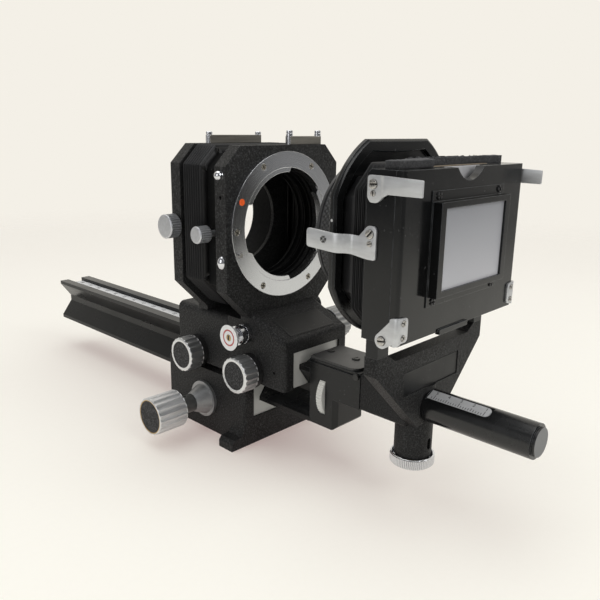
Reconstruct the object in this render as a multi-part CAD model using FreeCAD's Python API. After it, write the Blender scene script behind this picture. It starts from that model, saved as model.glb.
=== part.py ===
import FreeCAD
import Part
import math
import os

# Macro bellows unit with slide copier.
# Millimetres, +Z up, lens end towards -Y, origin at the mouth of the tripod socket.

V = FreeCAD.Vector

# Clearances
RUN = 0.05            # radial running fit of a shaft in its hole
SLIDE = 0.15          # slide liner to rail
GAP = 0.3             # between parts that move past each other

# Rail
RAIL_HALF = 9.9       # half width at the lips
RAIL_WAIST = 3.7      # half width at the waist
RAIL_H = 24.0
RAIL_LIP = 1.9        # height of a lip
RAIL_NECK_H = 3.4     # straight part of the waist
RAIL_BOT = 19.5
RAIL_TOP = RAIL_BOT + RAIL_H
RAIL_FRONT = -58.4
RAIL_REAR = 159.8
CHANNEL_W = 9.0
CHANNEL_D = 2.4
SCALE_T = 0.4

# Focusing rack and pinion
MODULE = 0.8
TEETH = 12
PITCH = math.pi * MODULE
PINION_R = MODULE * TEETH / 2
PRESSURE = math.radians(20)
ADDENDUM = 0.6
BACKLASH = 0.2
RACK_W = 6.0
RACK_FRONT = -36.0
RACK_REAR = 118.0
SHAFT_Y = 0.0
SHAFT_Z = RAIL_BOT + ADDENDUM - PINION_R
SHAFT_R = 2.5

# Base block
BASE_HALF = 20.0
BASE_L = 57.0
BASE_H = 30.3
BASE_Y = BASE_L / 2
FOOT_HALF = BASE_HALF + 7.7
FOOT_L = 9.0
FOOT_H = 4.9
WINDOW_HALF = 14.5
WINDOW_Z0 = 12.8
WINDOW_Z1 = 28.8
LINER_INSET = 1.0
BUSH_R = 6.0
TRIPOD_R = 2.6        # quarter inch thread, inner radius
TRIPOD_DEPTH = 7.0

# Focusing knob
FLANGE_R = 8.6
FLANGE_T = 1.5
CONE_R = 4.3
CONE_END = -BASE_HALF - 8.0
COLLAR_R = 4.2
COLLAR_END = CONE_END - 8.2
FOCUS_R = 8.6
FOCUS_FACE = COLLAR_END - 14.8
FOCUS_INSERT = 0.9    # share of the knob's radius that its inset takes

# Carriages
CAR_HALF = 20.0
CAR_BOT = 33.5
CAR_WINDOW_TOP = 49.8
CAR_ROUND = 2.0
FRONT_L = 35.7
REAR_L = 35.8
FRONT_Y0 = -53.3
FRONT_Y1 = FRONT_Y0 + FRONT_L
NOSE_Z = 55.2
SLOPE_Z = 64.0
FRONT_BACK_Z = 60.0
REAR_Y0 = FRONT_Y1 + GAP
REAR_Y1 = REAR_Y0 + REAR_L
REAR_TOP = 59.5
DRIVE_Z = CAR_BOT + 4.8
DRIVE_R = 2.0
FRONT_DRIVE_Y = FRONT_Y0 + 20.25
REAR_DRIVE_Y = REAR_Y0 + 21.4
KNOB_R = 8.0
KNOB_FACE = -CAR_HALF - 10.0
KNOB_INSERT = 0.78    # share of the knob's radius that its inset takes
KNOB_RING = 2.4
FLUTES = 20
FLUTE_D = 0.4
RIM = 0.7             # chamfer round a knob's face
INSERT_D = 0.8
INSERT_SINK = 0.15
LOCK_UP = 2.7         # lock knob above the slide's window
LOCK_HEAD = 9.2
STOP_Y = FRONT_Y1 - 4.9
STOP_Z = FRONT_BACK_Z - 3.0
RELEASE_Y = FRONT_Y0 + 23.3
RELEASE_Z = NOSE_Z - 0.6
RELEASE_BORE = 1.5

# Standards
AXIS_Z = 100.0        # lens axis
STD_HALF = 33.0
STD_TOP = 133.5
STD_TOP_CUT = 8.0
STD_LOW_Z = 74.5
STD_FOOT_Z = 61.5
FSTD_T = 6.5
RSTD_T = 6.3
FSTD_Y0 = FRONT_Y0 + 20.4
FSTD_Y1 = FSTD_Y0 + FSTD_T
BEL_Y0 = REAR_Y0
BEL_Y1 = BEL_Y0 + 12.1
RSTD_Y0 = BEL_Y1 + 1.8
RSTD_Y1 = RSTD_Y0 + RSTD_T
THROAT_R = 24.4
RING_R = 31.0
RING_T = 1.5
RING_IN = THROAT_R - 0.05
CLAW_R = 22.4
CLAW_T = 3.6
RING_SCREW_R = 28.4
RING_SCREW_ANGLES = (59, 119, 181, 240, 299)
RING_SCREW_HEAD = 1.4
RING_SCREW_DEPTH = 0.7
FRAME_IN = 3.5        # front frame is this much narrower than the standard
FOLDS = 4
FOLD_D = 3.2
SKIN = 1.2
REAR_THROAT = 20.0
HUB_R = 23.6
CAM_FLANGE_R = 29.0
CAM_FLANGE_T = 2.0
CAM_BARREL_R = 22.0
CAM_BARREL_END = RSTD_Y1 + 6.7
PIN_A = math.radians(200)      # place of the lens lock pin on the ring
PIN_RING_R = 28.9
PIN_X = PIN_RING_R * math.cos(PIN_A)
PIN_Z = AXIS_Z + PIN_RING_R * math.sin(PIN_A)
PIN_R = 1.0
STUD_Y = (FSTD_Y0 + FSTD_Y1) / 2
STUD_Z = AXIS_Z + 22.0
BUTTON_Y = STUD_Y
BUTTON_Z = AXIS_Z - 13.0
FRAME_KNOB_Y = BEL_Y0 - 3.9
FRAME_KNOB_Z = AXIS_Z - 2.0
FRAME_KNOB_R = 3.55
FRAME_KNOB_L = 6.0
FRAME_STEM_R = 1.3
CAM_KNOB_Y = RSTD_Y0 + 3.2
CAM_KNOB_Z = AXIS_Z - 0.8
CAM_KNOB_R = 5.15
CAM_KNOB_L = 5.5
CAM_KNOB_GAP = 1.0
CAM_STEM_R = 1.6
BAR_H = 3.5
BAR_HALF_T = 1.9
BAR_PIN_R = 1.7
FRONT_BAR_X0 = 3.7
FRONT_BAR_X1 = STD_HALF - STD_TOP_CUT + 0.2
FRONT_PIN_H = 2.5
REAR_BAR_HALF = 16.3
REAR_PIN_H = 1.5

# Copier rod
ROD_R = 6.35
ROD_Z = 40.7
ROD_IN = 4.2
ROD_L = 68.2
ROD_FLAT = 0.75       # depth of the flat that the scale lies on
ROD_TURN = 23.0       # degrees that the flat is turned towards the knobs
SCALE_HALF = 2.2
SCALE_L = 25.1

# Clamp
CLAMP_HALF = 9.7
CLAMP_TOP = ROD_Z + 7.5
JAW_END = RAIL_FRONT - 14.3
ARM_END = JAW_END - 12.1
ARM_BOT = ROD_Z - 7.7
PLATE_T = 1.0
PLATE_END = ARM_END + 1.9
WHEEL_R = 11.9
WHEEL_Z = 32.5
WHEEL_T = 3.2
WHEEL_Y1 = RAIL_FRONT - 5.1
WHEEL_Y0 = WHEEL_Y1 - WHEEL_T
WHEEL_SCREW_R = 2.0
ROD_END = ARM_END - ROD_L
ROD_CAP_R = 5.2
ROD_CAP_END = ROD_END - 1.2

# Copier casting
SLEEVE_HALF = 9.5
SLEEVE_Y = ARM_END - GAP
SLEEVE_Z0 = ROD_Z - 7.9
SLEEVE_Z1 = ROD_Z + 7.9
VEE_T = 5.4
VEE_Y1 = SLEEVE_Y - 20.3
VEE_Y0 = VEE_Y1 - VEE_T
SCALE_REAR = VEE_Y0 - 1.1
SCALE_FRONT = SCALE_REAR - SCALE_L
VEE_HALF = 34.2
VEE_LOW = ROD_Z + 19.6
VEE_TOP = VEE_LOW + 3.7
VEE_HORN = VEE_TOP + 3.0
PANEL_HALF = 18.0
COL_R = 7.3
COL_Y = VEE_Y1 + 1.0
COL_Z = ROD_Z - 21.7
ROD_WHEEL_R = 8.7
ROD_WHEEL_Z1 = COL_Z - 3.5
ROD_WHEEL_Z0 = ROD_WHEEL_Z1 - 4.4
CROWN_TOP = COL_Z - 0.4
POST_X = 28.3
POST_H = 7.6

# Slide stage and door
STAGE_HALF = 37.7
STAGE_T = 10.7
STAGE_H = 54.4
STAGE_Y1 = VEE_Y1 - 1.0
STAGE_Y0 = STAGE_Y1 - STAGE_T
STAGE_Z0 = VEE_HORN + POST_H
STAGE_Z1 = STAGE_Z0 + STAGE_H
COPY_Z = STAGE_Z0 + 28.9      # slide centre
STAGE_WALL = 2.6
SLIDE_HALF = 25.3     # half width of the slide channel
SLIDE_T = 2.3
GATE_HALF = 18.6
GATE_H = 12.7
DOOR_HALF = STAGE_HALF + GAP
DOOR_T = 3.1
DOOR_Y1 = STAGE_Y0 - GAP
DOOR_Y0 = DOOR_Y1 - DOOR_T
DOOR_WALL = 1.8
DOOR_RIM = 6.0
OPAL_HALF = 19.6
OPAL_H = 13.4
OPAL_T = 1.5
OPAL_LAP = 0.8
BEZEL_HALF = 22.4
BEZEL_H = 15.4
BEZEL_T = 3.7         # how far the window frame stands out from the door
BEZEL_LIP = 0.9
MASK_HALF = 23.0      # thin plate under the window frame
MASK_H = 18.8
MASK_T = 0.4
MASK_SCREW_X = 19.5
MASK_SCREW_Z = 17.2
NOTCH_HALF = 8.4
NOTCH_D = 4.4
PIVOT_Y = STAGE_Y0 + 1.8
PIVOT_Z = STAGE_Z0 + 1.2
STRAP_T = 0.8
STRAP_H = 8.2
LEAF_W = 4.6
SCREW_R = 1.2         # shank of a stage screw
SCREW_SMALL_R = 0.7
SCREW_SINK = 2.5
SCREW_HEAD = 1.6
SCREW_HEAD_SMALL = 1.0
SCREW_HEAD_T = 0.8
CLIP_Y = STAGE_Y1 - 3.0       # screws of a door clip
CLIP_Z0 = STAGE_Z1 - 10.0
CLIP_Z1 = STAGE_Z1 - 2.2
CLIP_ARM_Z = STAGE_Z1 - 7.3
CLIP_SCREW_Z = CLIP_ARM_Z + 2.8
CLIP_END = DOOR_Y0 - 7.1
LEVER_Y = STAGE_Y1 - 2.4      # screws of the side lever
LEVER_Z0 = COPY_Z - 0.2
LEVER_Z1 = COPY_Z + 5.7
LEVER_PAD_Z0 = COPY_Z - 2.2
LEVER_PAD_Z1 = COPY_Z + 8.2
LEVER_SMALL_Z = COPY_Z + 2.5
LEVER_SCREW_Z = COPY_Z + 5.5
LEVER_OUT = 4.2
LEVER_BEND_Y = STAGE_Y1 + 5.4
LEVER_END_Y = STAGE_Y1 + 20.7
LEDGE_X0 = -14.0
LEDGE_X1 = 4.0
FELT_T = 3.0
FELT_LEFT_X1 = -13.0
FELT_RIGHT_X0 = -20.0
FELT_RIGHT_X1 = STAGE_HALF - 7.7

# Copier bellows, head and lens
HEAD_T = 3.0
HEAD_Y0 = STAGE_Y1 + 15.0
HEAD_Y1 = HEAD_Y0 + HEAD_T
HEAD_R = 41.0
HEAD_UP = 35.0
HEAD_RIM = 6.0        # rim left round the groove in the plate's front
LENS_RING_R = 26.0
LENS_RING_L = 13.7
LENS_RING_Y = HEAD_Y1 + GAP + LENS_RING_L
LENS_SLEEVE_R = 22.5
LENS_BORE_R = 20.5
COPY_BEL_HALF = STAGE_HALF - 1.7
COPY_BEL_UP = 31.0
COPY_BEL_CUT = 9.0
COPY_FOLDS = 2
COPY_FOLD_D = 3.0
COPY_SEAT_T = 1.3
COPY_SEAT_SIDE = 6.0  # width of the seat's border against the stage
COPY_SEAT_LOW = 7.5
COPY_SEAT_UP = 8.5
COPY_NECK = 7.5


def box(x0, x1, y0, y1, z0, z1):
    return Part.makeBox(x1 - x0, y1 - y0, z1 - z0, V(x0, y0, z0))


def rod(axis, a, b, r, c0, c1):
    """Cylinder along axis from c0 to c1; a and b are the other two coordinates."""
    at = {"x": V(c0, a, b), "y": V(a, c0, b), "z": V(a, b, c0)}[axis]
    way = {"x": V(1, 0, 0), "y": V(0, 1, 0), "z": V(0, 0, 1)}[axis]
    return Part.makeCylinder(r, c1 - c0, at, way)


def taper(axis, a, b, r0, r1, c0, c1):
    at = {"x": V(c0, a, b), "y": V(a, c0, b), "z": V(a, b, c0)}[axis]
    way = {"x": V(1, 0, 0), "y": V(0, 1, 0), "z": V(0, 0, 1)}[axis]
    return Part.makeCone(r0, r1, c1 - c0, at, way)


def ring(axis, a, b, r_out, r_in, c0, c1):
    return rod(axis, a, b, r_out, c0, c1).cut(rod(axis, a, b, r_in, c0 - 1, c1 + 1))


def prism(axis, pts, c0, c1):
    """Polygon across axis, pushed along it from c0 to c1."""
    if axis == "x":
        loop = [V(c0, p[0], p[1]) for p in pts]
        way = V(c1 - c0, 0, 0)
    elif axis == "y":
        loop = [V(p[0], c0, p[1]) for p in pts]
        way = V(0, c1 - c0, 0)
    else:
        loop = [V(p[0], p[1], c0) for p in pts]
        way = V(0, 0, c1 - c0)
    return Part.Face(Part.makePolygon(loop + [loop[0]])).extrude(way)


def mirrored(pts):
    """Right-hand outline points, bottom to top, closed by their mirror image."""
    return list(pts) + [(-x, z) for x, z in reversed(pts)]


def flip(shape):
    return shape.mirror(V(0, 0, 0), V(1, 0, 0))


def join(shapes):
    first = shapes[0]
    return first.fuse(list(shapes[1:])).removeSplitter()


def soften(shape, r, keep):
    """Round the straight edges that keep() picks by their two ends."""
    picked = []
    for edge in shape.Edges:
        if len(edge.Vertexes) == 2 and keep(edge.Vertexes[0].Point, edge.Vertexes[1].Point):
            picked.append(edge)
    return shape.makeFillet(r, picked)


def save(name, shapes):
    if isinstance(shapes, list):
        shape = Part.makeCompound(shapes)
    else:
        shape = shapes
    shape.exportStep("parts/%s.step" % name)


def rail_points(grow):
    middle = RAIL_BOT + RAIL_H / 2
    neck = RAIL_NECK_H / 2
    dx = RAIL_HALF - RAIL_WAIST
    dz = RAIL_H / 2 - RAIL_LIP - neck
    run = math.hypot(dx, dz)
    k = grow * (dx / run - (1 - dz / run) * dz / dx)
    low = RAIL_BOT + RAIL_LIP + k
    high = RAIL_TOP - RAIL_LIP - k
    return mirrored([
        (RAIL_HALF + grow, RAIL_BOT - grow),
        (RAIL_HALF + grow, low),
        (RAIL_WAIST + grow, middle - neck + k),
        (RAIL_WAIST + grow, middle + neck - k),
        (RAIL_HALF + grow, high),
        (RAIL_HALF + grow, RAIL_TOP + grow),
    ])


def rack_spaces():
    flank = math.tan(PRESSURE)
    mid = PITCH / 4 + BACKLASH / 2
    depth = 2 * ADDENDUM + 0.1
    wide = mid + (ADDENDUM + 0.05) * flank
    deep = mid - (depth - ADDENDUM) * flank
    cuts = []
    for k in range(math.ceil(RACK_FRONT / PITCH), math.floor(RACK_REAR / PITCH) + 1):
        y = k * PITCH
        pts = [(y - wide, RAIL_BOT - 0.05), (y + wide, RAIL_BOT - 0.05),
               (y + deep, RAIL_BOT + depth), (y - deep, RAIL_BOT + depth)]
        cuts.append(prism("x", pts, -RACK_W / 2, RACK_W / 2))
    return cuts


def rail_bar():
    body = prism("y", rail_points(0), RAIL_FRONT, RAIL_REAR)
    body = body.cut(box(-CHANNEL_W / 2, CHANNEL_W / 2, RAIL_FRONT - 1, RAIL_REAR + 1,
                        RAIL_TOP - CHANNEL_D, RAIL_TOP + 1))
    body = body.cut(rod("y", 0, WHEEL_Z, WHEEL_SCREW_R + RUN, RAIL_FRONT - 1, RAIL_FRONT + 14))
    return body.cut(rack_spaces())


def rail_scale():
    half = CHANNEL_W / 2 - 0.3
    floor = RAIL_TOP - CHANNEL_D
    return box(-half, half, RAIL_FRONT + 6, RAIL_REAR - 2, floor, floor + SCALE_T)


def pinion():
    base = PINION_R * math.cos(PRESSURE)
    half = (PITCH / 4 - BACKLASH / 2) / PINION_R + math.tan(PRESSURE) - PRESSURE
    root = PINION_R - ADDENDUM - 0.15
    tip = PINION_R + ADDENDUM - 0.05
    pts = []
    for t in range(TEETH):
        mid = 2 * math.pi * t / TEETH + math.pi / 2
        side = [(half, root), (half, base)]
        for s in range(1, 5):
            r = base + (tip - base) * s / 4
            lean = math.acos(base / r)
            side.append((half - math.tan(lean) + lean, r))
        for turn, r in side:
            pts.append((r * math.cos(mid - turn), r * math.sin(mid - turn)))
        for turn, r in reversed(side):
            pts.append((r * math.cos(mid + turn), r * math.sin(mid + turn)))
    loop = [(SHAFT_Y + y, SHAFT_Z + z) for y, z in pts]
    return prism("x", loop, -RACK_W / 2 + 0.2, RACK_W / 2 - 0.2)


def pinion_pocket():
    r = PINION_R + ADDENDUM + GAP
    return rod("x", SHAFT_Y, SHAFT_Z, r, -RACK_W / 2 - GAP, RACK_W / 2 + GAP)


def focus_shaft():
    shaft = rod("x", SHAFT_Y, SHAFT_Z, SHAFT_R, CONE_END - GAP, BASE_HALF - 2.2)
    collar = rod("x", SHAFT_Y, SHAFT_Z, COLLAR_R, COLLAR_END, CONE_END - GAP)
    collar = collar.cut(rod("z", (COLLAR_END + CONE_END) / 2, SHAFT_Y, 0.9,
                            SHAFT_Z + COLLAR_R - 1.2, SHAFT_Z + COLLAR_R + 1))
    return join([shaft, collar, pinion()])


def focus_flange():
    out = -BASE_HALF
    disc = rod("x", SHAFT_Y, SHAFT_Z, FLANGE_R, out - FLANGE_T, out)
    cone = taper("x", SHAFT_Y, SHAFT_Z, CONE_R, FLANGE_R - 1.4, CONE_END, out - FLANGE_T)
    body = join([disc, cone])
    return body.cut(rod("x", SHAFT_Y, SHAFT_Z, SHAFT_R + RUN, CONE_END - 1, out + 1))


def fluted_knob(y, z, r, x_face, x_back, insert):
    """Knob on an X axis with its face at x_face; the rim by the face stays plain."""
    face = taper("x", y, z, r - RIM, r, x_face, x_face + RIM)
    body = join([face, rod("x", y, z, r, x_face + RIM, x_back)])
    half = r * math.pi / FLUTES * 0.9
    sag = FLUTE_D - (r - math.sqrt(r * r - half * half))
    groove = (half * half + sag * sag) / (2 * sag)
    reach = r - FLUTE_D + groove
    cuts = []
    for k in range(FLUTES):
        a = 2 * math.pi * k / FLUTES
        cuts.append(rod("x", y + reach * math.cos(a), z + reach * math.sin(a), groove,
                        x_face + RIM, x_back + 1))
    body = body.cut(cuts)
    return body.cut(rod("x", y, z, r * insert, x_face - 1, x_face + INSERT_D))


def knob_insert(y, z, r, x_face, insert):
    return rod("x", y, z, r * insert, x_face + INSERT_SINK, x_face + INSERT_D)


def base_block():
    foot = mirrored([(FOOT_HALF, 0), (FOOT_HALF, FOOT_H - 1.6), (FOOT_HALF - 1.4, FOOT_H),
                     (BASE_HALF + 2.2, FOOT_H + 0.5), (BASE_HALF + 0.6, FOOT_H + 2.4),
                     (BASE_HALF, FOOT_H + 5)])
    side = prism("z", [(-BASE_HALF, -BASE_Y), (BASE_HALF, -BASE_Y), (BASE_HALF, BASE_Y),
                       (-BASE_HALF, BASE_Y)], 0, BASE_H)
    side = soften(side, 1.6, lambda a, b: abs(a.z - b.z) > 1)
    parts = [side]
    for y0 in (-BASE_Y, BASE_Y - FOOT_L):
        parts.append(prism("y", foot, y0, y0 + FOOT_L))
    body = join(parts)
    body = body.cut(box(-WINDOW_HALF, WINDOW_HALF, -BASE_Y - 1, BASE_Y + 1, WINDOW_Z0, WINDOW_Z1))
    neck = RAIL_WAIST + 2.0
    body = body.cut(box(-neck, neck, -BASE_Y - 1, BASE_Y + 1, WINDOW_Z1 - 1, BASE_H + 1))
    body = body.cut(pinion_pocket())
    body = body.cut(rod("z", 0, 0, BUSH_R, -1, bush_height()))
    return body.cut(rod("x", SHAFT_Y, SHAFT_Z, SHAFT_R + RUN, -BASE_HALF - 1, BASE_HALF - 2))


def bush_height():
    return SHAFT_Z - PINION_R - ADDENDUM - GAP - 0.8


def tripod_bush():
    h = bush_height()
    body = rod("z", 0, 0, BUSH_R, 0, h)
    return body.cut(rod("z", 0, 0, TRIPOD_R, -1, min(TRIPOD_DEPTH, h - 0.8)))


def base_liner():
    y = BASE_Y - LINER_INSET
    body = box(-WINDOW_HALF, WINDOW_HALF, -y, y, WINDOW_Z0, WINDOW_Z1)
    body = body.cut(prism("y", rail_points(SLIDE), -BASE_Y - 1, BASE_Y + 1))
    body = body.cut(pinion_pocket())
    return body.cut(rod("x", SHAFT_Y, SHAFT_Z, SHAFT_R + GAP, -WINDOW_HALF - 1, WINDOW_HALF + 1))


def carriage_bores(body, y0, y1, drive_y):
    body = body.cut(box(-WINDOW_HALF, WINDOW_HALF, y0 - 1, y1 + 1, CAR_BOT - 1, CAR_WINDOW_TOP))
    return body.cut(rod("x", drive_y, DRIVE_Z, DRIVE_R + RUN, -CAR_HALF - 1, -WINDOW_HALF + 1))


def front_carriage():
    nose = [(FRONT_Y0, CAR_BOT), (FRONT_Y0, NOSE_Z), (FSTD_Y0 - 0.1, SLOPE_Z),
            (FSTD_Y1, SLOPE_Z), (FSTD_Y1, CAR_BOT)]
    body = prism("x", nose, -CAR_HALF, CAR_HALF)
    front = FRONT_Y0 + 0.01
    body = soften(body, CAR_ROUND, lambda a, b: (a.x * b.x > 0 and a.y < FSTD_Y0 and b.y < FSTD_Y0 + 1
                                                 and a.z + b.z > 2 * CAR_BOT + 1)
                  or (a.x * b.x < 0 and a.y < front and b.y < front and a.z > CAR_BOT + 1))
    back = box(-CAR_HALF, CAR_HALF, FSTD_Y1 - 1, FRONT_Y1, CAR_BOT, FRONT_BACK_Z)
    body = join([body, back])
    body = body.cut(box(-CAR_HALF - 1, CAR_HALF + 1, FSTD_Y0, FRONT_Y1 + 1, STD_FOOT_Z, SLOPE_Z + 5))
    body = carriage_bores(body, FRONT_Y0, FRONT_Y1, FRONT_DRIVE_Y)
    for y in (FRONT_Y0 + 6.1, FRONT_Y1 - 4.2):
        body = body.cut(rod("x", y, CAR_BOT + 7.3, 0.7, -CAR_HALF - 1, -CAR_HALF + 1.2))
    body = body.cut(rod("x", lock_spot("front")[0], lock_spot("front")[1], DRIVE_R + RUN,
                        CAR_HALF - 5, CAR_HALF + 1))
    return body.cut(rod("x", STOP_Y, STOP_Z, 1.8 + RUN, CAR_HALF - 6, CAR_HALF + 1))


def lock_spot(which):
    """Y and Z of a right-hand lock knob."""
    if which == "front":
        return (FRONT_Y0 + 12.3, CAR_WINDOW_TOP + LOCK_UP)
    return (REAR_DRIVE_Y, CAR_WINDOW_TOP + LOCK_UP)


def rear_carriage():
    body = box(-CAR_HALF, CAR_HALF, REAR_Y0, REAR_Y1, CAR_BOT, REAR_TOP)
    body = soften(body, 3.0, lambda a, b: abs(a.y - b.y) > 5 and a.z > CAR_BOT + 5)
    body = carriage_bores(body, REAR_Y0, REAR_Y1, REAR_DRIVE_Y)
    return body.cut(rod("x", lock_spot("rear")[0], lock_spot("rear")[1], DRIVE_R + RUN,
                        CAR_HALF - 5, CAR_HALF + 1))


def carriage_liner(y0, y1, drive_y):
    body = box(-WINDOW_HALF, WINDOW_HALF, y0 + LINER_INSET, y1 - LINER_INSET,
               CAR_BOT + 0.2, CAR_WINDOW_TOP)
    body = body.cut(prism("y", rail_points(SLIDE), y0 - 1, y1 + 1))
    return body.cut(rod("x", drive_y, DRIVE_Z, DRIVE_R + GAP, -WINDOW_HALF - 1, -WINDOW_HALF + 2))


def drive_shaft(y):
    """Short shaft into the carriage side, with the dark ring behind the knob."""
    stem = rod("x", y, DRIVE_Z, DRIVE_R, -CAR_HALF - GAP, -WINDOW_HALF + 0.5)
    back = rod("x", y, DRIVE_Z, KNOB_R - 0.3, -CAR_HALF - GAP - KNOB_RING, -CAR_HALF - GAP)
    return join([stem, back])


def carriage_knob(y):
    return fluted_knob(y, DRIVE_Z, KNOB_R, KNOB_FACE, -CAR_HALF - GAP - KNOB_RING, KNOB_INSERT)


def lock_knob(which):
    y, z = lock_spot(which)
    stem = rod("x", y, z, DRIVE_R, CAR_HALF - 4.5, CAR_HALF + GAP)
    head = rod("x", y, z, KNOB_R - 0.4, CAR_HALF + GAP, CAR_HALF + GAP + LOCK_HEAD)
    cuts = []
    for k in range(24):
        a = 2 * math.pi * k / 24
        cuts.append(rod("x", y + KNOB_R * math.cos(a), z + KNOB_R * math.sin(a), 0.8,
                        CAR_HALF, CAR_HALF + GAP + LOCK_HEAD - 1.1))
    return [stem, head.cut(cuts)]


def stop_down_knob():
    stem = rod("x", STOP_Y, STOP_Z, 1.8, CAR_HALF - 5.5, CAR_HALF + 4)
    neck = rod("x", STOP_Y, STOP_Z, 3.0, CAR_HALF + GAP, CAR_HALF + 4)
    head = rod("x", STOP_Y, STOP_Z, 5.0, CAR_HALF + 4, CAR_HALF + 11)
    return join([stem, neck, head])


def standard_points(inset, foot):
    h = STD_HALF - inset
    low = STD_LOW_Z + inset * 0.4
    top = STD_TOP - inset
    cut = STD_TOP_CUT - inset * 0.6
    narrow = h - (low - STD_FOOT_Z)
    return mirrored([(min(narrow, CAR_HALF), foot), (min(narrow, CAR_HALF), STD_FOOT_Z + inset * 0.4),
                     (h, low), (h, top - cut), (h - cut, top)])


def standard_plate(y0, y1, foot, hole):
    body = prism("y", standard_points(0, foot), y0, y1)
    return body.cut(rod("y", 0, AXIS_Z, hole, y0 - 1, y1 + 1))


def front_standard():
    body = standard_plate(FSTD_Y0, FSTD_Y1, STD_FOOT_Z, THROAT_R)
    body = body.cut(rod("y", PIN_X, PIN_Z, PIN_R + RUN, FSTD_Y0 - 1, FSTD_Y0 + 5))
    body = body.cut(rod("x", BUTTON_Y, BUTTON_Z, 1.5 + RUN, -STD_HALF - 1, -STD_HALF + 4.2))
    return body.cut(rod("x", STUD_Y, STUD_Z - 8.7, 0.8, -STD_HALF - 1, -STD_HALF + 2))


def lens_mount_ring():
    y = FSTD_Y0 - RING_T
    body = ring("y", 0, AXIS_Z, RING_R, RING_IN, y, FSTD_Y0)
    claws = ring("y", 0, AXIS_Z, RING_IN, CLAW_R, y + 0.3, y + CLAW_T)
    for k in range(3):
        a = math.radians(30 + 120 * k)
        gap = box(-10, 10, y - 1, y + CLAW_T + 1, AXIS_Z + CLAW_R - 4, AXIS_Z + RING_IN + 4)
        gap.rotate(V(0, 0, AXIS_Z), V(0, 1, 0), math.degrees(a))
        claws = claws.cut(gap)
    body = join([body, claws])
    for x, z in ring_screw_spots():
        body = body.cut(rod("y", x, z, RING_SCREW_HEAD, y - 1, y + RING_SCREW_DEPTH))
    return body.cut(rod("y", PIN_X, PIN_Z, PIN_R + RUN, y - 1, FSTD_Y0 + 1))


def ring_screw_spots():
    spots = []
    for a in RING_SCREW_ANGLES:
        spots.append((RING_SCREW_R * math.cos(math.radians(a)),
                      AXIS_Z + RING_SCREW_R * math.sin(math.radians(a))))
    return spots


def ring_screws():
    """Sunk heads, just below the face that a lens seats on."""
    heads = []
    face = FSTD_Y0 - RING_T
    for x, z in ring_screw_spots():
        head = rod("y", x, z, RING_SCREW_HEAD, face + 0.05, face + RING_SCREW_DEPTH)
        heads.append(head.cut(box(x - 2, x + 2, face - 1, face + 0.25, z - 0.2, z + 0.2)))
    return heads


def lock_pin():
    return rod("y", PIN_X, PIN_Z, PIN_R, FSTD_Y0 - RING_T - 1.0, FSTD_Y0 + 2.6)


def release_button():
    x = -STD_HALF
    stem = rod("x", BUTTON_Y, BUTTON_Z, 1.5, x - 1.6, x + 2.6)
    waist = taper("x", BUTTON_Y, BUTTON_Z, 1.6, 3.0, x - 3.6, x - 1.6)
    head = taper("x", BUTTON_Y, BUTTON_Z, 3.0, 1.6, x - 5.6, x - 3.6)
    return join([stem, waist, head])


def ball_stud():
    x = -STD_HALF
    foot = rod("x", STUD_Y, STUD_Z, 2.2, x - 1.2, x)
    neck = rod("x", STUD_Y, STUD_Z, 1.0, x - 3.0, x - 1.2)
    ball = Part.makeSphere(1.9, V(x - 4.0, STUD_Y, STUD_Z), V(1, 0, 0))
    return join([foot, neck, ball])


def top_bar(x0, x1, y, pin_h):
    parts = [box(x0, x1, y - BAR_HALF_T, y + BAR_HALF_T, STD_TOP, STD_TOP + BAR_H)]
    for x in (x0 + BAR_HALF_T, x1 - BAR_HALF_T):
        parts.append(rod("z", x, y, BAR_PIN_R, STD_TOP + BAR_H, STD_TOP + BAR_H + pin_h))
    return join(parts)


def bellows_front_frame():
    body = prism("y", standard_points(FRAME_IN, STD_FOOT_Z + 2.6), FSTD_Y1, BEL_Y0)
    body = body.cut(rod("y", 0, AXIS_Z, THROAT_R, FSTD_Y1 - 1, (FSTD_Y1 + BEL_Y0) / 2))
    body = body.cut(rod("y", 0, AXIS_Z, THROAT_R - 1.2, FSTD_Y1 - 1, BEL_Y0 + 1))
    body = body.cut(box(-CAR_HALF - 1, CAR_HALF + 1, FSTD_Y1 - 1, BEL_Y0 + 1, CAR_BOT, FRONT_BACK_Z + 0.01))
    return body.cut(rod("x", FRAME_KNOB_Y, FRAME_KNOB_Z, FRAME_STEM_R + RUN,
                        -STD_HALF, -STD_HALF + FRAME_IN + 3))


def ribbed_knob(y, z, r, length, back, stem_r, stem_end):
    face = back - length
    head = rod("x", y, z, r, face, back)
    count = 16
    cuts = []
    for k in range(count):
        a = 2 * math.pi * k / count
        cuts.append(rod("x", y + r * math.cos(a), z + r * math.sin(a), r * 0.1, face + 0.8, back + 1))
    stem = rod("x", y, z, stem_r, back, stem_end)
    return [head.cut(cuts), stem]


def fold_loft(points, y0, y1, folds, dip, thick):
    """Closed bellows wall: outline points() pulled in by dip at every other section."""
    outer = []
    for k in range(2 * folds + 1):
        y = y0 + (y1 - y0) * k / (2 * folds)
        pts = points(0 if k % 2 else dip)
        outer.append(Part.makePolygon([V(x, y, z) for x, z in pts + [pts[0]]]))
    solid = Part.makeLoft(outer, True, True)
    core = prism("y", points(dip + thick), y0 - 1, y1 + 1)
    return solid.cut(core)


def bellows_points(inset):
    h = STD_HALF - inset
    z0 = STD_FOOT_Z + 3.0 + inset
    top = STD_TOP - inset
    cut = STD_TOP_CUT - inset * 0.6
    low = 13.0 - inset * 0.6
    return mirrored([(h - low, z0), (h, z0 + low), (h, top - cut), (h - cut, top)])


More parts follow.
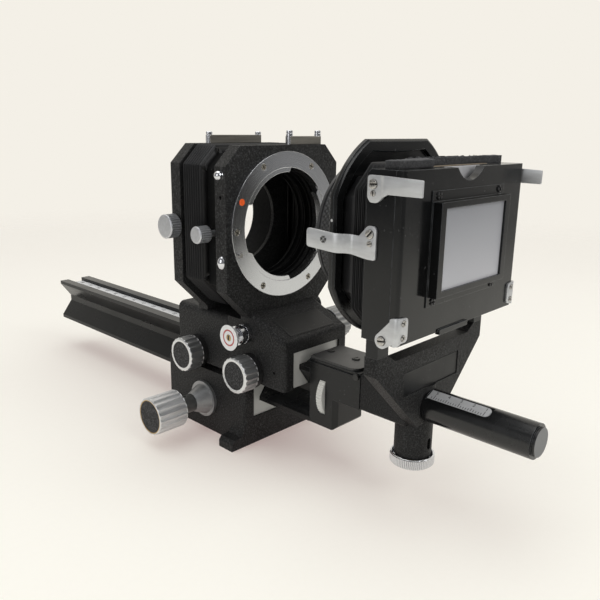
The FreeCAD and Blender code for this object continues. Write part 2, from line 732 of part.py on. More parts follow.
def rear_standard():
    body = standard_plate(RSTD_Y0, RSTD_Y1, REAR_TOP, HUB_R + RUN)
    frame = prism("y", bellows_points(2.6), BEL_Y1, RSTD_Y0)
    body = join([body, frame.cut(rod("y", 0, AXIS_Z, REAR_THROAT, BEL_Y1 - 1, RSTD_Y0 + 1))])
    return body.cut(rod("x", CAM_KNOB_Y, CAM_KNOB_Z, CAM_STEM_R + RUN, -STD_HALF - 1, -CAM_FLANGE_R - 0.4))


def camera_mount_ring():
    hub = ring("y", 0, AXIS_Z, HUB_R, REAR_THROAT, RSTD_Y0 + GAP, RSTD_Y1 + GAP)
    flange = ring("y", 0, AXIS_Z, CAM_FLANGE_R, REAR_THROAT, RSTD_Y1 + GAP, RSTD_Y1 + GAP + CAM_FLANGE_T)
    barrel = ring("y", 0, AXIS_Z, CAM_BARREL_R, REAR_THROAT, RSTD_Y1 + GAP + 0.5, CAM_BARREL_END)
    tabs = ring("y", 0, AXIS_Z, CAM_BARREL_R + 1.6, REAR_THROAT, CAM_BARREL_END - 1.6, CAM_BARREL_END)
    for k in range(3):
        gap = box(-10, 10, CAM_BARREL_END - 3, CAM_BARREL_END + 1,
                  AXIS_Z + CAM_BARREL_R, AXIS_Z + CAM_BARREL_R + 6)
        gap.rotate(V(0, 0, AXIS_Z), V(0, 1, 0), 120 * k)
        tabs = tabs.cut(gap)
    return join([hub, flange, barrel, tabs])


def cable_release_socket():
    x = -CAR_HALF
    parts = []
    for r, x0, x1 in ((4.2, x - 2.4, x), (3.0, x - 3.4, x - 2.4), (4.2, x - 5.6, x - 3.4),
                      (3.0, x - 8.2, x - 5.6)):
        parts.append(rod("x", RELEASE_Y, RELEASE_Z, r, x0, x1))
    return join(parts).cut(rod("x", RELEASE_Y, RELEASE_Z, RELEASE_BORE, x - 9, x - 1.5))


def cable_release_disc():
    x = -CAR_HALF - 8.2
    disc = taper("x", RELEASE_Y, RELEASE_Z, 5.6, 4.6, x - 1.8, x)
    return disc.cut(rod("x", RELEASE_Y, RELEASE_Z, RELEASE_BORE, x - 3, x + 1))


def clamp_block():
    side = [(RAIL_FRONT, RAIL_BOT), (RAIL_FRONT, CLAMP_TOP), (ARM_END, CLAMP_TOP), (ARM_END, ARM_BOT),
            (JAW_END, ARM_BOT), (JAW_END, RAIL_BOT + 1.5), (JAW_END + 1.5, RAIL_BOT)]
    body = prism("x", side, -CLAMP_HALF, CLAMP_HALF)
    corner = [(CLAMP_HALF + 1, JAW_END - 1), (CLAMP_HALF + 1, JAW_END + 3), (CLAMP_HALF - 3, JAW_END - 1)]
    for sign in (1, -1):
        pts = [(sign * x, y) for x, y in corner]
        body = body.cut(prism("z", pts, RAIL_BOT - 1, ARM_BOT))
    lift = CLAMP_TOP - RAIL_TOP
    hood = [(RAIL_FRONT, RAIL_TOP), (RAIL_FRONT, CLAMP_TOP), (RAIL_FRONT + lift - 0.3, RAIL_TOP)]
    body = join([body, prism("x", hood, -CLAMP_HALF, CLAMP_HALF)])
    body = body.cut(rod("y", 0, WHEEL_Z, WHEEL_R + 0.25, WHEEL_Y0 - GAP, WHEEL_Y1 + GAP))
    body = body.cut(rod("y", 0, WHEEL_Z, WHEEL_SCREW_R + RUN, WHEEL_Y1, RAIL_FRONT + 1))
    groove = box(-CLAMP_HALF - 1, -CLAMP_HALF + 0.6, ARM_END - 1, RAIL_FRONT + 1,
                 CLAMP_TOP - 1.6, CLAMP_TOP - 0.6)
    body = body.cut(groove)
    body = body.cut(flip(groove))
    for x, y in clamp_screw_spots():
        body = body.cut(rod("z", x, y, 1.2, CLAMP_TOP - 3, CLAMP_TOP + 1))
    return body.cut(box(-CLAMP_HALF + 3, CLAMP_HALF - 3, ARM_END + 4, JAW_END + 4,
                        ARM_BOT + 3, CLAMP_TOP - 4))


def clamp_screw_spots():
    return [(0.5, JAW_END - 1.7), (0.5, RAIL_FRONT - 2.4)]


def clamp_top_plate():
    half = CLAMP_HALF - 0.2
    body = box(-half, half, PLATE_END, RAIL_FRONT, CLAMP_TOP, CLAMP_TOP + PLATE_T)
    body = soften(body, 4.0, lambda a, b: abs(a.z - b.z) > 0.5 and a.y < PLATE_END + 1)
    for x, y in clamp_screw_spots():
        body = body.cut(rod("z", x, y, 1.2, CLAMP_TOP - 1, CLAMP_TOP + 2))
    return body


def clamp_screws():
    made = []
    for x, y in clamp_screw_spots():
        body = rod("z", x, y, 1.2, CLAMP_TOP - 3, CLAMP_TOP + PLATE_T)
        body = body.fuse(rod("z", x, y, 1.7, CLAMP_TOP + PLATE_T, CLAMP_TOP + PLATE_T + 0.4))
        top = CLAMP_TOP + PLATE_T + 0.4
        made.append(body.removeSplitter().cut(box(x - 2, x + 2, y - 0.2, y + 0.2, top - 0.2, top + 1)))
    pin_y = ARM_END + 1.6
    made.append(rod("x", pin_y, CLAMP_TOP - 1.6, 1.3, -CLAMP_HALF - 1.0, -CLAMP_HALF))
    return made


def clamp_wheel():
    body = rod("y", 0, WHEEL_Z, WHEEL_R, WHEEL_Y0, WHEEL_Y1)
    count = 36
    cuts = []
    for k in range(count):
        a = 2 * math.pi * k / count
        cuts.append(rod("y", WHEEL_R * math.cos(a), WHEEL_Z + WHEEL_R * math.sin(a), 0.4,
                        WHEEL_Y0 - 1, WHEEL_Y1 + 1))
    screw = rod("y", 0, WHEEL_Z, WHEEL_SCREW_R, WHEEL_Y1, RAIL_FRONT + 12)
    return [body.cut(cuts), screw]


def copier_rod():
    body = rod("y", 0, ROD_Z, ROD_R, ROD_END, ARM_END)
    body = body.cut(rod("y", 0, ROD_Z, ROD_IN, ROD_END + 6, ARM_END + 1))
    flat = ROD_Z + ROD_R - ROD_FLAT
    body = body.cut(turned_on_rod(box(-4, 4, SCALE_FRONT, SCALE_REAR, flat, flat + 5)))
    return join([body, rod("y", 0, ROD_Z, ROD_CAP_R, ROD_CAP_END, ROD_END)])


def turned_on_rod(shape):
    shape.rotate(V(0, 0, ROD_Z), V(0, 1, 0), -ROD_TURN)
    return shape


def rod_scale():
    flat = ROD_Z + ROD_R - ROD_FLAT
    body = box(-SCALE_HALF, SCALE_HALF, SCALE_FRONT + 0.4, SCALE_REAR - 0.2, flat, flat + GAP)
    body = soften(body, SCALE_HALF - 0.2, lambda a, b: abs(a.z - b.z) > 0.1 and a.y < SCALE_FRONT + 1)
    return turned_on_rod(body)


def copier_casting():
    sleeve = box(-SLEEVE_HALF, SLEEVE_HALF, VEE_Y1 - 1, SLEEVE_Y, SLEEVE_Z0, SLEEVE_Z1)
    sleeve = soften(sleeve, 1.5, lambda a, b: abs(a.y - b.y) > 5)
    low = VEE_LOW - (VEE_HALF - COL_R - 0.7)
    vee = prism("y", mirrored([(COL_R + 0.7, low), (VEE_HALF, VEE_LOW), (VEE_HALF, VEE_HORN),
                               (POST_X, VEE_HORN), (POST_X - 4.5, VEE_TOP)]), VEE_Y0, VEE_Y1)
    column = rod("z", 0, COL_Y, COL_R, COL_Z, SLEEVE_Z1 + 4)
    body = join([sleeve, vee, column])
    body = body.cut(box(-PANEL_HALF, PANEL_HALF, VEE_Y0 - 2, VEE_Y0 + 0.5, SLEEVE_Z1, VEE_TOP - 6))
    body = body.cut(rod("y", 0, ROD_Z, ROD_R + RUN, VEE_Y0 - 8, SLEEVE_Y + 1))
    body = body.cut(rod("z", 0, COL_Y, WHEEL_SCREW_R + 0.5 + RUN, COL_Z - 1, ROD_Z))
    slot = [box(-1.1, 1.1, COL_Y - COL_R - 1, COL_Y - COL_R + 2.5, COL_Z + 4.4, COL_Z + 7.0)]
    for z in (COL_Z + 4.4, COL_Z + 7.0):
        slot.append(rod("y", 0, z, 1.1, COL_Y - COL_R - 1, COL_Y - COL_R + 2.5))
    return body.cut(slot)


def posts():
    made = []
    for x in (POST_X, -VEE_HALF):
        made.append(box(x, x + VEE_HALF - POST_X, VEE_Y0, VEE_Y1 - 0.4, VEE_HORN, STAGE_Z0))
    return made


def rod_clamp_wheel():
    wheel = rod("z", 0, COL_Y, ROD_WHEEL_R, ROD_WHEEL_Z0, ROD_WHEEL_Z1)
    crown = ring("z", 0, COL_Y, ROD_WHEEL_R - 0.2, ROD_WHEEL_R - 1.2, ROD_WHEEL_Z1, CROWN_TOP)
    for k in range(3):
        bar = box(-2.6, 2.6, COL_Y - 12, COL_Y + 12, ROD_WHEEL_Z1, CROWN_TOP + 1)
        bar.rotate(V(0, COL_Y, 0), V(0, 0, 1), 60 * k + 20)
        crown = crown.cut(bar)
    shaft = rod("z", 0, COL_Y, WHEEL_SCREW_R + 0.5, ROD_WHEEL_Z1, ROD_Z - ROD_R - GAP)
    count = 40
    cuts = []
    for k in range(count):
        a = 2 * math.pi * k / count
        cuts.append(rod("z", ROD_WHEEL_R * math.cos(a), COL_Y + ROD_WHEEL_R * math.sin(a), 0.3,
                        ROD_WHEEL_Z0 - 1, ROD_WHEEL_Z1 - 0.6))
    return join([wheel.cut(cuts), crown, shaft])


def stage_frame():
    body = prism("x", [(STAGE_Y0, STAGE_Z0 + 2), (STAGE_Y0, STAGE_Z1), (STAGE_Y1 - 1.5, STAGE_Z1),
                       (STAGE_Y1, STAGE_Z1 - 1.5), (STAGE_Y1, STAGE_Z0), (STAGE_Y0 + 2, STAGE_Z0)],
                 -STAGE_HALF, STAGE_HALF)
    wall = STAGE_WALL
    body = body.cut(box(-STAGE_HALF + wall, STAGE_HALF - wall, STAGE_Y0 + SLIDE_T + 2, STAGE_Y1 + 1,
                        STAGE_Z0 + wall, STAGE_Z1 - wall))
    body = body.cut(box(-SLIDE_HALF, SLIDE_HALF, STAGE_Y0 - 1, STAGE_Y0 + SLIDE_T,
                        COPY_Z - SLIDE_HALF, STAGE_Z1 + 1))
    body = body.cut(box(-GATE_HALF, GATE_HALF, STAGE_Y0 - 1, STAGE_Y1 + 1, COPY_Z - GATE_H, COPY_Z + GATE_H))
    for s in (1, -1):
        x = STAGE_HALF - SCREW_SINK if s > 0 else -STAGE_HALF - 1
        for y, z in stage_screw_spots(s):
            body = body.cut(rod("x", y, z, shank(z), x, x + SCREW_SINK + 1))
    return body


def stage_screw_spots(side):
    """Y and Z of the hinge pivot, then the clip's and the lever's big and small screws."""
    spots = [(PIVOT_Y, PIVOT_Z), (CLIP_Y, CLIP_SCREW_Z), (CLIP_Y, CLIP_ARM_Z)]
    if side < 0:
        spots += [(LEVER_Y, LEVER_SCREW_Z), (LEVER_Y, LEVER_SMALL_Z)]
    return spots


def shank(z):
    """The small screws sit right under the big ones."""
    return SCREW_SMALL_R if z in (CLIP_ARM_Z, LEVER_SMALL_Z) else SCREW_R


def stage_screws():
    made = []
    for s in (1, -1):
        for y, z in stage_screw_spots(s):
            head = SCREW_HEAD if shank(z) == SCREW_R else SCREW_HEAD_SMALL
            seat = STAGE_HALF + STRAP_T + (GAP * 2 if z == PIVOT_Z else 0)
            screw = join([rod("x", y, z, shank(z), STAGE_HALF - SCREW_SINK, seat),
                          rod("x", y, z, head, seat, seat + SCREW_HEAD_T)])
            screw = screw.cut(box(seat + SCREW_HEAD_T / 2, seat + 2, y - 3, y + 3, z - 0.2, z + 0.2))
            made.append(screw if s > 0 else flip(screw))
    return made


def stage_door():
    body = box(-DOOR_HALF, DOOR_HALF, DOOR_Y0, DOOR_Y1, STAGE_Z0, STAGE_Z1)
    body = soften(body, DOOR_T * 0.4, lambda a, b: abs(a.z - b.z) > 5 and a.y < DOOR_Y0 + 1)
    body = body.cut(box(-DOOR_HALF + DOOR_RIM, DOOR_HALF - DOOR_RIM, DOOR_Y0 + DOOR_WALL, DOOR_Y1 + 1,
                        STAGE_Z0 + DOOR_RIM, STAGE_Z1 - NOTCH_D - DOOR_WALL))
    body = body.cut(box(-OPAL_HALF - OPAL_LAP, OPAL_HALF + OPAL_LAP, DOOR_Y0 - 1, DOOR_Y1 + 1,
                        COPY_Z - OPAL_H - OPAL_LAP, COPY_Z + OPAL_H + OPAL_LAP))
    body = body.cut(finger_notch())
    ledge = box(LEDGE_X0, LEDGE_X1, DOOR_Y0 - 0.8, DOOR_Y0 + 1, STAGE_Z0 - 1.0, STAGE_Z0 + 0.8)
    body = join([body, ledge])
    for x, z in strap_screw_spots():
        body = body.cut(rod("y", x, z, 0.8, DOOR_Y0 - 1, DOOR_Y0 + 1.5))
        body = body.cut(rod("y", -x, z, 0.8, DOOR_Y0 - 1, DOOR_Y0 + 1.5))
    for x, z in mask_screw_spots():
        body = body.cut(rod("y", x, z, 0.8, DOOR_Y0 - 1, DOOR_Y0 + 1.5))
    return body


def finger_notch():
    """Shallow round cut in the door's top edge."""
    r = (NOTCH_HALF ** 2 + NOTCH_D ** 2) / (2 * NOTCH_D)
    return rod("y", 0, STAGE_Z1 - NOTCH_D + r, r, DOOR_Y0 - 1, DOOR_Y1 + 1)


def opal_diffuser():
    face = DOOR_Y0 - BEZEL_T + BEZEL_LIP
    return box(-OPAL_HALF - OPAL_LAP, OPAL_HALF + OPAL_LAP, face, face + OPAL_T,
               COPY_Z - OPAL_H - OPAL_LAP, COPY_Z + OPAL_H + OPAL_LAP)


def window_bezel():
    """Window frame on a thin plate, with the opal sheet let in from behind."""
    frame = box(-BEZEL_HALF, BEZEL_HALF, DOOR_Y0 - BEZEL_T, DOOR_Y0, COPY_Z - BEZEL_H, COPY_Z + BEZEL_H)
    plate = box(-MASK_HALF, MASK_HALF, DOOR_Y0 - MASK_T, DOOR_Y0, COPY_Z - MASK_H, COPY_Z + MASK_H)
    body = join([frame, plate])
    body = body.cut(box(-OPAL_HALF, OPAL_HALF, DOOR_Y0 - BEZEL_T - 1, DOOR_Y0 + 1,
                        COPY_Z - OPAL_H, COPY_Z + OPAL_H))
    body = body.cut(box(-OPAL_HALF - OPAL_LAP, OPAL_HALF + OPAL_LAP,
                        DOOR_Y0 - BEZEL_T + BEZEL_LIP, DOOR_Y0 + 1,
                        COPY_Z - OPAL_H - OPAL_LAP, COPY_Z + OPAL_H + OPAL_LAP))
    for x, z in mask_screw_spots():
        body = body.cut(rod("y", x, z, 0.8, DOOR_Y0 - 1, DOOR_Y0 + 1))
    return body


def mask_screw_spots():
    return [(x, COPY_Z + z) for x in (-MASK_SCREW_X, MASK_SCREW_X) for z in (-MASK_SCREW_Z, MASK_SCREW_Z)]


def strap_screw_spots():
    x = DOOR_HALF - LEAF_W / 2
    return [(x, PIVOT_Z + 1.6), (x, PIVOT_Z + STRAP_H - 1.8)]


def hinge_strap():
    x = DOOR_HALF
    front = DOOR_Y0 - STRAP_T
    cheek = prism("x", [(PIVOT_Y + 2.4, PIVOT_Z - 1.5), (PIVOT_Y + 2.4, PIVOT_Z + 1.5),
                        (DOOR_Y1 - 1.0, PIVOT_Z + STRAP_H - 0.6), (front, PIVOT_Z + STRAP_H),
                        (front, PIVOT_Z), (PIVOT_Y - 1.5, PIVOT_Z - 2.6), (PIVOT_Y + 1.0, PIVOT_Z - 2.6)],
                  x, x + STRAP_T)
    cheek = cheek.cut(rod("x", PIVOT_Y, PIVOT_Z, SCREW_R + RUN, x - 1, x + 3))
    leaf = box(x - LEAF_W, x + STRAP_T, front, DOOR_Y0, PIVOT_Z, PIVOT_Z + STRAP_H)
    body = join([cheek, leaf])
    for sx, sz in strap_screw_spots():
        body = body.cut(rod("y", sx, sz, 0.8, front - 2, DOOR_Y0 + 1))
    return body


def hinge_straps():
    right = hinge_strap()
    return [right, flip(right)]


def door_screws():
    made = []
    for x, z in strap_screw_spots():
        y = DOOR_Y0 - STRAP_T
        body = join([rod("y", x, z, 0.8, y, DOOR_Y0 + 1.5), rod("y", x, z, 1.1, y - 0.5, y)])
        made.append(body)
        made.append(flip(body))
    for x, z in mask_screw_spots():
        y = DOOR_Y0 - MASK_T
        made.append(join([rod("y", x, z, 0.8, y, DOOR_Y0 + 1.5), rod("y", x, z, 1.3, y - 0.6, y)]))
    return made


def door_clip():
    """Leaf spring on the stage side whose arm lies along the door."""
    x = STAGE_HALF
    t = STRAP_T
    low = (CLIP_Y + 1.9, CLIP_Z0 + 1.0)
    plate = prism("x", [(STAGE_Y1 - 0.4, CLIP_Z1), low, (CLIP_Y, CLIP_Z0), (CLIP_Y - 1.6, CLIP_Z0 + 0.6),
                        (CLIP_Y - 5.0, CLIP_ARM_Z), (CLIP_Y - 5.0, CLIP_Z1)], x, x + t)
    step = box(x + t - 0.01, x + 2 * t, CLIP_Y - 6.1, CLIP_Y - 2.6, CLIP_ARM_Z, CLIP_Z1)
    arm = box(x + t, x + 2 * t, CLIP_END, CLIP_Y - 3.1, CLIP_ARM_Z, CLIP_Z1)
    arm = soften(arm, 0.8, lambda a, b: abs(a.x - b.x) > 0.3 and a.y < DOOR_Y0)
    body = join([plate, step, arm])
    for y, z in stage_screw_spots(1)[1:]:
        body = body.cut(rod("x", y, z, shank(z), x - 1, x + 3))
    return body


def door_clips():
    right = door_clip()
    return [right, flip(right)]


def latch_lever():
    """Bent strip on the left stage side that reaches back past the head plate."""
    x = -STAGE_HALF
    t = STRAP_T
    out = x - LEVER_OUT
    pad_end = LEVER_Y - 2.2
    pts = [(x, pad_end), (x, LEVER_BEND_Y), (out, LEVER_BEND_Y + 3.0), (out, LEVER_END_Y),
           (out - t, LEVER_END_Y), (out - t, LEVER_BEND_Y + 2.6),
           (x - t, LEVER_BEND_Y - 0.5), (x - t, pad_end)]
    strip = prism("z", pts, LEVER_Z0, LEVER_Z1)
    pad = prism("x", [(pad_end, LEVER_PAD_Z0), (pad_end, LEVER_PAD_Z1), (pad_end + 4.2, LEVER_PAD_Z1),
                      (pad_end + 7.0, LEVER_Z1), (pad_end + 7.0, LEVER_Z0),
                      (pad_end + 2.0, LEVER_PAD_Z0)], x - t, x)
    tip = rod("x", HEAD_Y0 - 1.9, (LEVER_Z0 + LEVER_Z1) / 2, 1.0, out, out + 2.0)
    body = join([strip, pad, tip])
    for y, z in stage_screw_spots(-1)[3:]:
        body = body.cut(rod("x", y, z, shank(z), x - 3, x + 1))
    return body


def felt_pads():
    middle = STAGE_Y0 + 6.0
    left = box(-STAGE_HALF + 0.7, FELT_LEFT_X1, STAGE_Y0 + GAP, middle, STAGE_Z1, STAGE_Z1 + FELT_T)
    left = left.cut(box(-SLIDE_HALF, SLIDE_HALF, STAGE_Y0 - 1, STAGE_Y0 + SLIDE_T,
                        STAGE_Z1 - 1, STAGE_Z1 + 9))
    right = box(FELT_RIGHT_X0, FELT_RIGHT_X1, middle + 0.1, STAGE_Y1 - 1.6, STAGE_Z1, STAGE_Z1 + FELT_T)
    return [left, right]


def copier_bellows_points(inset):
    h = COPY_BEL_HALF - inset
    top = COPY_Z + COPY_BEL_UP - inset
    low = COPY_Z - COPY_BEL_UP + inset
    cut = COPY_BEL_CUT - inset * 0.6
    return mirrored([(h - cut, low), (h, low + cut), (h, top - cut), (h - cut, top)])


def copier_bellows():
    start = STAGE_Y1 + COPY_SEAT_T
    end = HEAD_Y0 - COPY_NECK
    folds = fold_loft(copier_bellows_points, start, end, COPY_FOLDS, COPY_FOLD_D, SKIN)
    neck = prism("y", copier_bellows_points(COPY_FOLD_D + 1.0), end, HEAD_Y0)
    neck = neck.cut(prism("y", copier_bellows_points(COPY_FOLD_D + 2.6), end - 1, HEAD_Y0 + 1))
    seat = prism("y", copier_bellows_points(COPY_FOLD_D), STAGE_Y1, start)
    side = COPY_BEL_HALF - COPY_SEAT_SIDE
    seat = seat.cut(box(-side, side, STAGE_Y1 - 1, start + 1,
                        COPY_Z - COPY_BEL_UP + COPY_SEAT_LOW, COPY_Z + COPY_BEL_UP - COPY_SEAT_UP))
    return join([folds, neck, seat])


def head_plate():
    y0 = HEAD_Y0
    y1 = HEAD_Y1
    body = rod("y", 0, COPY_Z, HEAD_R, y0, y1)
    body = body.common(box(-STAGE_HALF, STAGE_HALF, y0 - 1, y1 + 1, COPY_Z - HEAD_R, COPY_Z + HEAD_UP))
    body = body.cut(ring("y", 0, COPY_Z, HEAD_R - HEAD_RIM, LENS_RING_R + 2, y0 - 1, y1 - 1.4))
    sleeve = rod("y", 0, COPY_Z, LENS_SLEEVE_R, y1 - 1, LENS_RING_Y - 1.2)
    body = join([body, sleeve])
    return body.cut(rod("y", 0, COPY_Z, LENS_BORE_R, y0 - 1, LENS_RING_Y + 1))


def lens_ring():
    y0 = HEAD_Y1 + GAP
    body = ring("y", 0, COPY_Z, LENS_RING_R, LENS_SLEEVE_R + RUN, y0, LENS_RING_Y)
    for y in (y0 + 2.2, LENS_RING_Y - 2.2):
        body = body.cut(ring("y", 0, COPY_Z, LENS_RING_R + 1, LENS_RING_R - 0.5, y - 0.3, y + 0.3))
    return body


def build():
    os.makedirs("parts", exist_ok=True)
    save("base_block", base_block())
    save("base_liner", base_liner())
    save("tripod_bush", tripod_bush())
    save("focus_flange", focus_flange())
    save("focus_shaft", focus_shaft())
    save("focus_knob", fluted_knob(SHAFT_Y, SHAFT_Z, FOCUS_R, FOCUS_FACE, COLLAR_END, FOCUS_INSERT))
    save("focus_knob_insert", knob_insert(SHAFT_Y, SHAFT_Z, FOCUS_R, FOCUS_FACE, FOCUS_INSERT))
    save("rail_bar", rail_bar())
    save("rail_scale", rail_scale())
    save("clamp_block", clamp_block())
    save("clamp_top_plate", clamp_top_plate())
    save("clamp_screws", clamp_screws())
    save("copier_rod", copier_rod())
    save("rod_scale", rod_scale())
    save("clamp_wheel", clamp_wheel())
    save("front_carriage", front_carriage())
    save("front_liner", carriage_liner(FRONT_Y0, FRONT_Y1, FRONT_DRIVE_Y))
    save("front_standard", front_standard())
    save("lens_mount_ring", lens_mount_ring())
    save("ring_screws", ring_screws())
    save("front_top_bar", top_bar(FRONT_BAR_X0, FRONT_BAR_X1, STUD_Y, FRONT_PIN_H))
    save("bellows_front_frame", bellows_front_frame())
    save("ball_stud", ball_stud())
    save("lens_release_button", release_button())
    save("lens_lock_pin", lock_pin())
    save("cable_release_socket", cable_release_socket())
    save("cable_release_disc", cable_release_disc())
    save("front_drive_shaft", drive_shaft(FRONT_DRIVE_Y))
    save("front_knob", carriage_knob(FRONT_DRIVE_Y))
    save("front_knob_insert", knob_insert(FRONT_DRIVE_Y, DRIVE_Z, KNOB_R, KNOB_FACE, KNOB_INSERT))
    save("frame_lock_knob", ribbed_knob(FRAME_KNOB_Y, FRAME_KNOB_Z, FRAME_KNOB_R, FRAME_KNOB_L,
                                        -STD_HALF - GAP, FRAME_STEM_R, -STD_HALF + FRAME_IN + 2.5))
    save("front_lock_knob", lock_knob("front"))
    save("stop_down_knob", stop_down_knob())
    save("rear_carriage", rear_carriage())
    save("rear_liner", carriage_liner(REAR_Y0, REAR_Y1, REAR_DRIVE_Y))
    save("rear_standard", rear_standard())
    save("rear_top_bar", top_bar(-REAR_BAR_HALF, REAR_BAR_HALF, (RSTD_Y0 + RSTD_Y1) / 2, REAR_PIN_H))
    save("camera_mount_ring", camera_mount_ring())
    save("camera_lock_knob", ribbed_knob(CAM_KNOB_Y, CAM_KNOB_Z, CAM_KNOB_R, CAM_KNOB_L,
                                         -STD_HALF - CAM_KNOB_GAP, CAM_STEM_R, -CAM_FLANGE_R - 0.8))
    save("rear_drive_shaft", drive_shaft(REAR_DRIVE_Y))
    save("rear_knob", carriage_knob(REAR_DRIVE_Y))
    save("rear_knob_insert", knob_insert(REAR_DRIVE_Y, DRIVE_Z, KNOB_R, KNOB_FACE, KNOB_INSERT))
    save("rear_lock_knob", lock_knob("rear"))
    save("bellows", fold_loft(bellows_points, BEL_Y0, BEL_Y1, FOLDS, FOLD_D, SKIN))
    save("copier_casting", copier_casting())
    save("posts", posts())
    save("rod_clamp_wheel", rod_clamp_wheel())
    save("stage_frame", stage_frame())
    save("stage_screws", stage_screws())
    save("door_clips", door_clips())
    save("latch_lever", latch_lever())
    save("felt_pads", felt_pads())
    save("stage_door", stage_door())
    save("opal_diffuser", opal_diffuser())
    save("window_bezel", window_bezel())
    save("door_screws", door_screws())
    save("hinge_straps", hinge_straps())
    save("copier_bellows", copier_bellows())
    save("head_plate", head_plate())
    save("lens_ring", lens_ring())


build()
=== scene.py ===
import math

import bmesh
import bpy
from bpy.props import FloatProperty, FloatVectorProperty, IntProperty, PointerProperty
from mathutils import Matrix, Vector, noise


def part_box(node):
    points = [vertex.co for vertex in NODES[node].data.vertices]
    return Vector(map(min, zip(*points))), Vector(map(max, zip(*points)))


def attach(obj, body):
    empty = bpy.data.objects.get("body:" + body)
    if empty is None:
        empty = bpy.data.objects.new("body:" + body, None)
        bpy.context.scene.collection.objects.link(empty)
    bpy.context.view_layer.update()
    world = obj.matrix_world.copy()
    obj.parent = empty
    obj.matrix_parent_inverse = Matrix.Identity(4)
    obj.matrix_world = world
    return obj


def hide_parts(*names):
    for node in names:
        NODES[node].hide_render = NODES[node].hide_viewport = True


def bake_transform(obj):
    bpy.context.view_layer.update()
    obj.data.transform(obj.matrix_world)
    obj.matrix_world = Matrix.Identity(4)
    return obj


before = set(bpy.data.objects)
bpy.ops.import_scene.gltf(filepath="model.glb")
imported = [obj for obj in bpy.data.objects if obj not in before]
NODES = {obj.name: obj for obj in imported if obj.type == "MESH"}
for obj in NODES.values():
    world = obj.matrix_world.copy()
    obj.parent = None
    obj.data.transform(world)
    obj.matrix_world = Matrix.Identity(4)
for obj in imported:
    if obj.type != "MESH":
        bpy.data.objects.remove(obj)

bl_info = {
    "name": "Macro bellows unit",
    "version": (1, 0, 0),
    "blender": (4, 5, 0),
    "location": "View3D > Sidebar > Bellows",
    "description": "Finishes the visible pieces of a macro bellows unit with slide copier",
    "category": "Object",
}

MM = 0.001
TURN = 2 * math.pi
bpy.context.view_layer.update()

# Places that the pieces share, in millimetres.
LENS_AXIS_Z = 100.0
RING_FACE_Y = -34.4                             # front of the lens mount ring
RING_SCREW_R = 28.4
RING_SCREW_ANGLES = (59, 119, 181, 240, 299)    # in degrees from +X
INDEX_DOT = (28.1, 156)                         # distance from the lens axis, degrees
SLOPE_FOOT, SLOPE_HEAD = (-53.3, 55.2), (-33.0, 64.0)   # Y and Z of the carriage's slope
CARRIAGE_SIDE_X = 20.3
DISC_CENTRE, DISC_R = (-30.0, 54.6), 5.6        # Y and Z of the plunger disc, its radius
COPY_Z = 103.5                                  # centre of the slide
DOOR_FACE_Y = -120.5
DOOR_SIDE = 38.0
STAGE_SIDE = 37.7
STAGE_TOP_Z = 129.0
SHEET = 0.8                                     # thickness of straps, clips and lever
LEVER_X = STAGE_SIDE + 4.2                      # inner face of the side lever's grip
PIVOT = (-115.3, 75.8)                          # Y and Z of the door's pivots
HEAD_FACE_Y = -91.4
HEAD_SIDE = 35.0
ROD_AXIS_Z = 40.7
ROD_TURN = 23.0                                 # degrees that the rod's scale is turned towards the knobs
CUP_Z = (14.6, 19.3)                            # foot and rim of the rod clamp's wheel


# ---------------------------------------------------------------- settings

class BellowsSizes(bpy.types.PropertyGroup):
    folds: IntProperty(name="Folds", description="Pleats of the main bellows", default=8, min=1)
    fold_depth: FloatProperty(name="Fold Depth", description="How far a pleat's valley lies in", default=1.3 * MM,
                              unit="LENGTH")
    copier_folds: IntProperty(name="Copier Folds", description="Pleats of the copier's bellows", default=5, min=1)
    copier_fold_depth: FloatProperty(name="Copier Fold Depth", description="The same in the copier's bellows",
                                     default=1.2 * MM, unit="LENGTH")
    cloth: FloatProperty(name="Cloth", description="Thickness of the bellows cloth", default=0.7 * MM, unit="LENGTH")


class KnobSizes(bpy.types.PropertyGroup):
    flutes: IntProperty(name="Flutes", description="Shallow flutes round a drive knob", default=20, min=3)
    flute_depth: FloatProperty(name="Flute Depth", description="Depth of a flute", default=0.42 * MM, unit="LENGTH")
    ring_knurls: IntProperty(name="Ring Knurls", description="Diamonds round the copier's lens ring", default=84,
                             min=12)
    wheel_knurls: IntProperty(name="Wheel Knurls", description="Straight knurls round the rod clamp's wheel",
                              default=72, min=12)


class FinishColours(bpy.types.PropertyGroup):
    paint: FloatVectorProperty(name="Crinkle Paint", description="Main colour of the painted castings",
                               default=(0.0155, 0.0155, 0.0155), size=3, subtype="COLOR")
    black: FloatVectorProperty(name="Satin Black", description="Colour of the smooth black parts",
                               default=(0.0055, 0.0058, 0.006), size=3, subtype="COLOR")
    nylon: FloatVectorProperty(name="Nylon", description="Colour of the slide liners", default=(0.72, 0.71, 0.66),
                               size=3, subtype="COLOR")
    felt: FloatVectorProperty(name="Felt", description="Colour of the felt pads", default=(0.040, 0.040, 0.041),
                              size=3, subtype="COLOR")


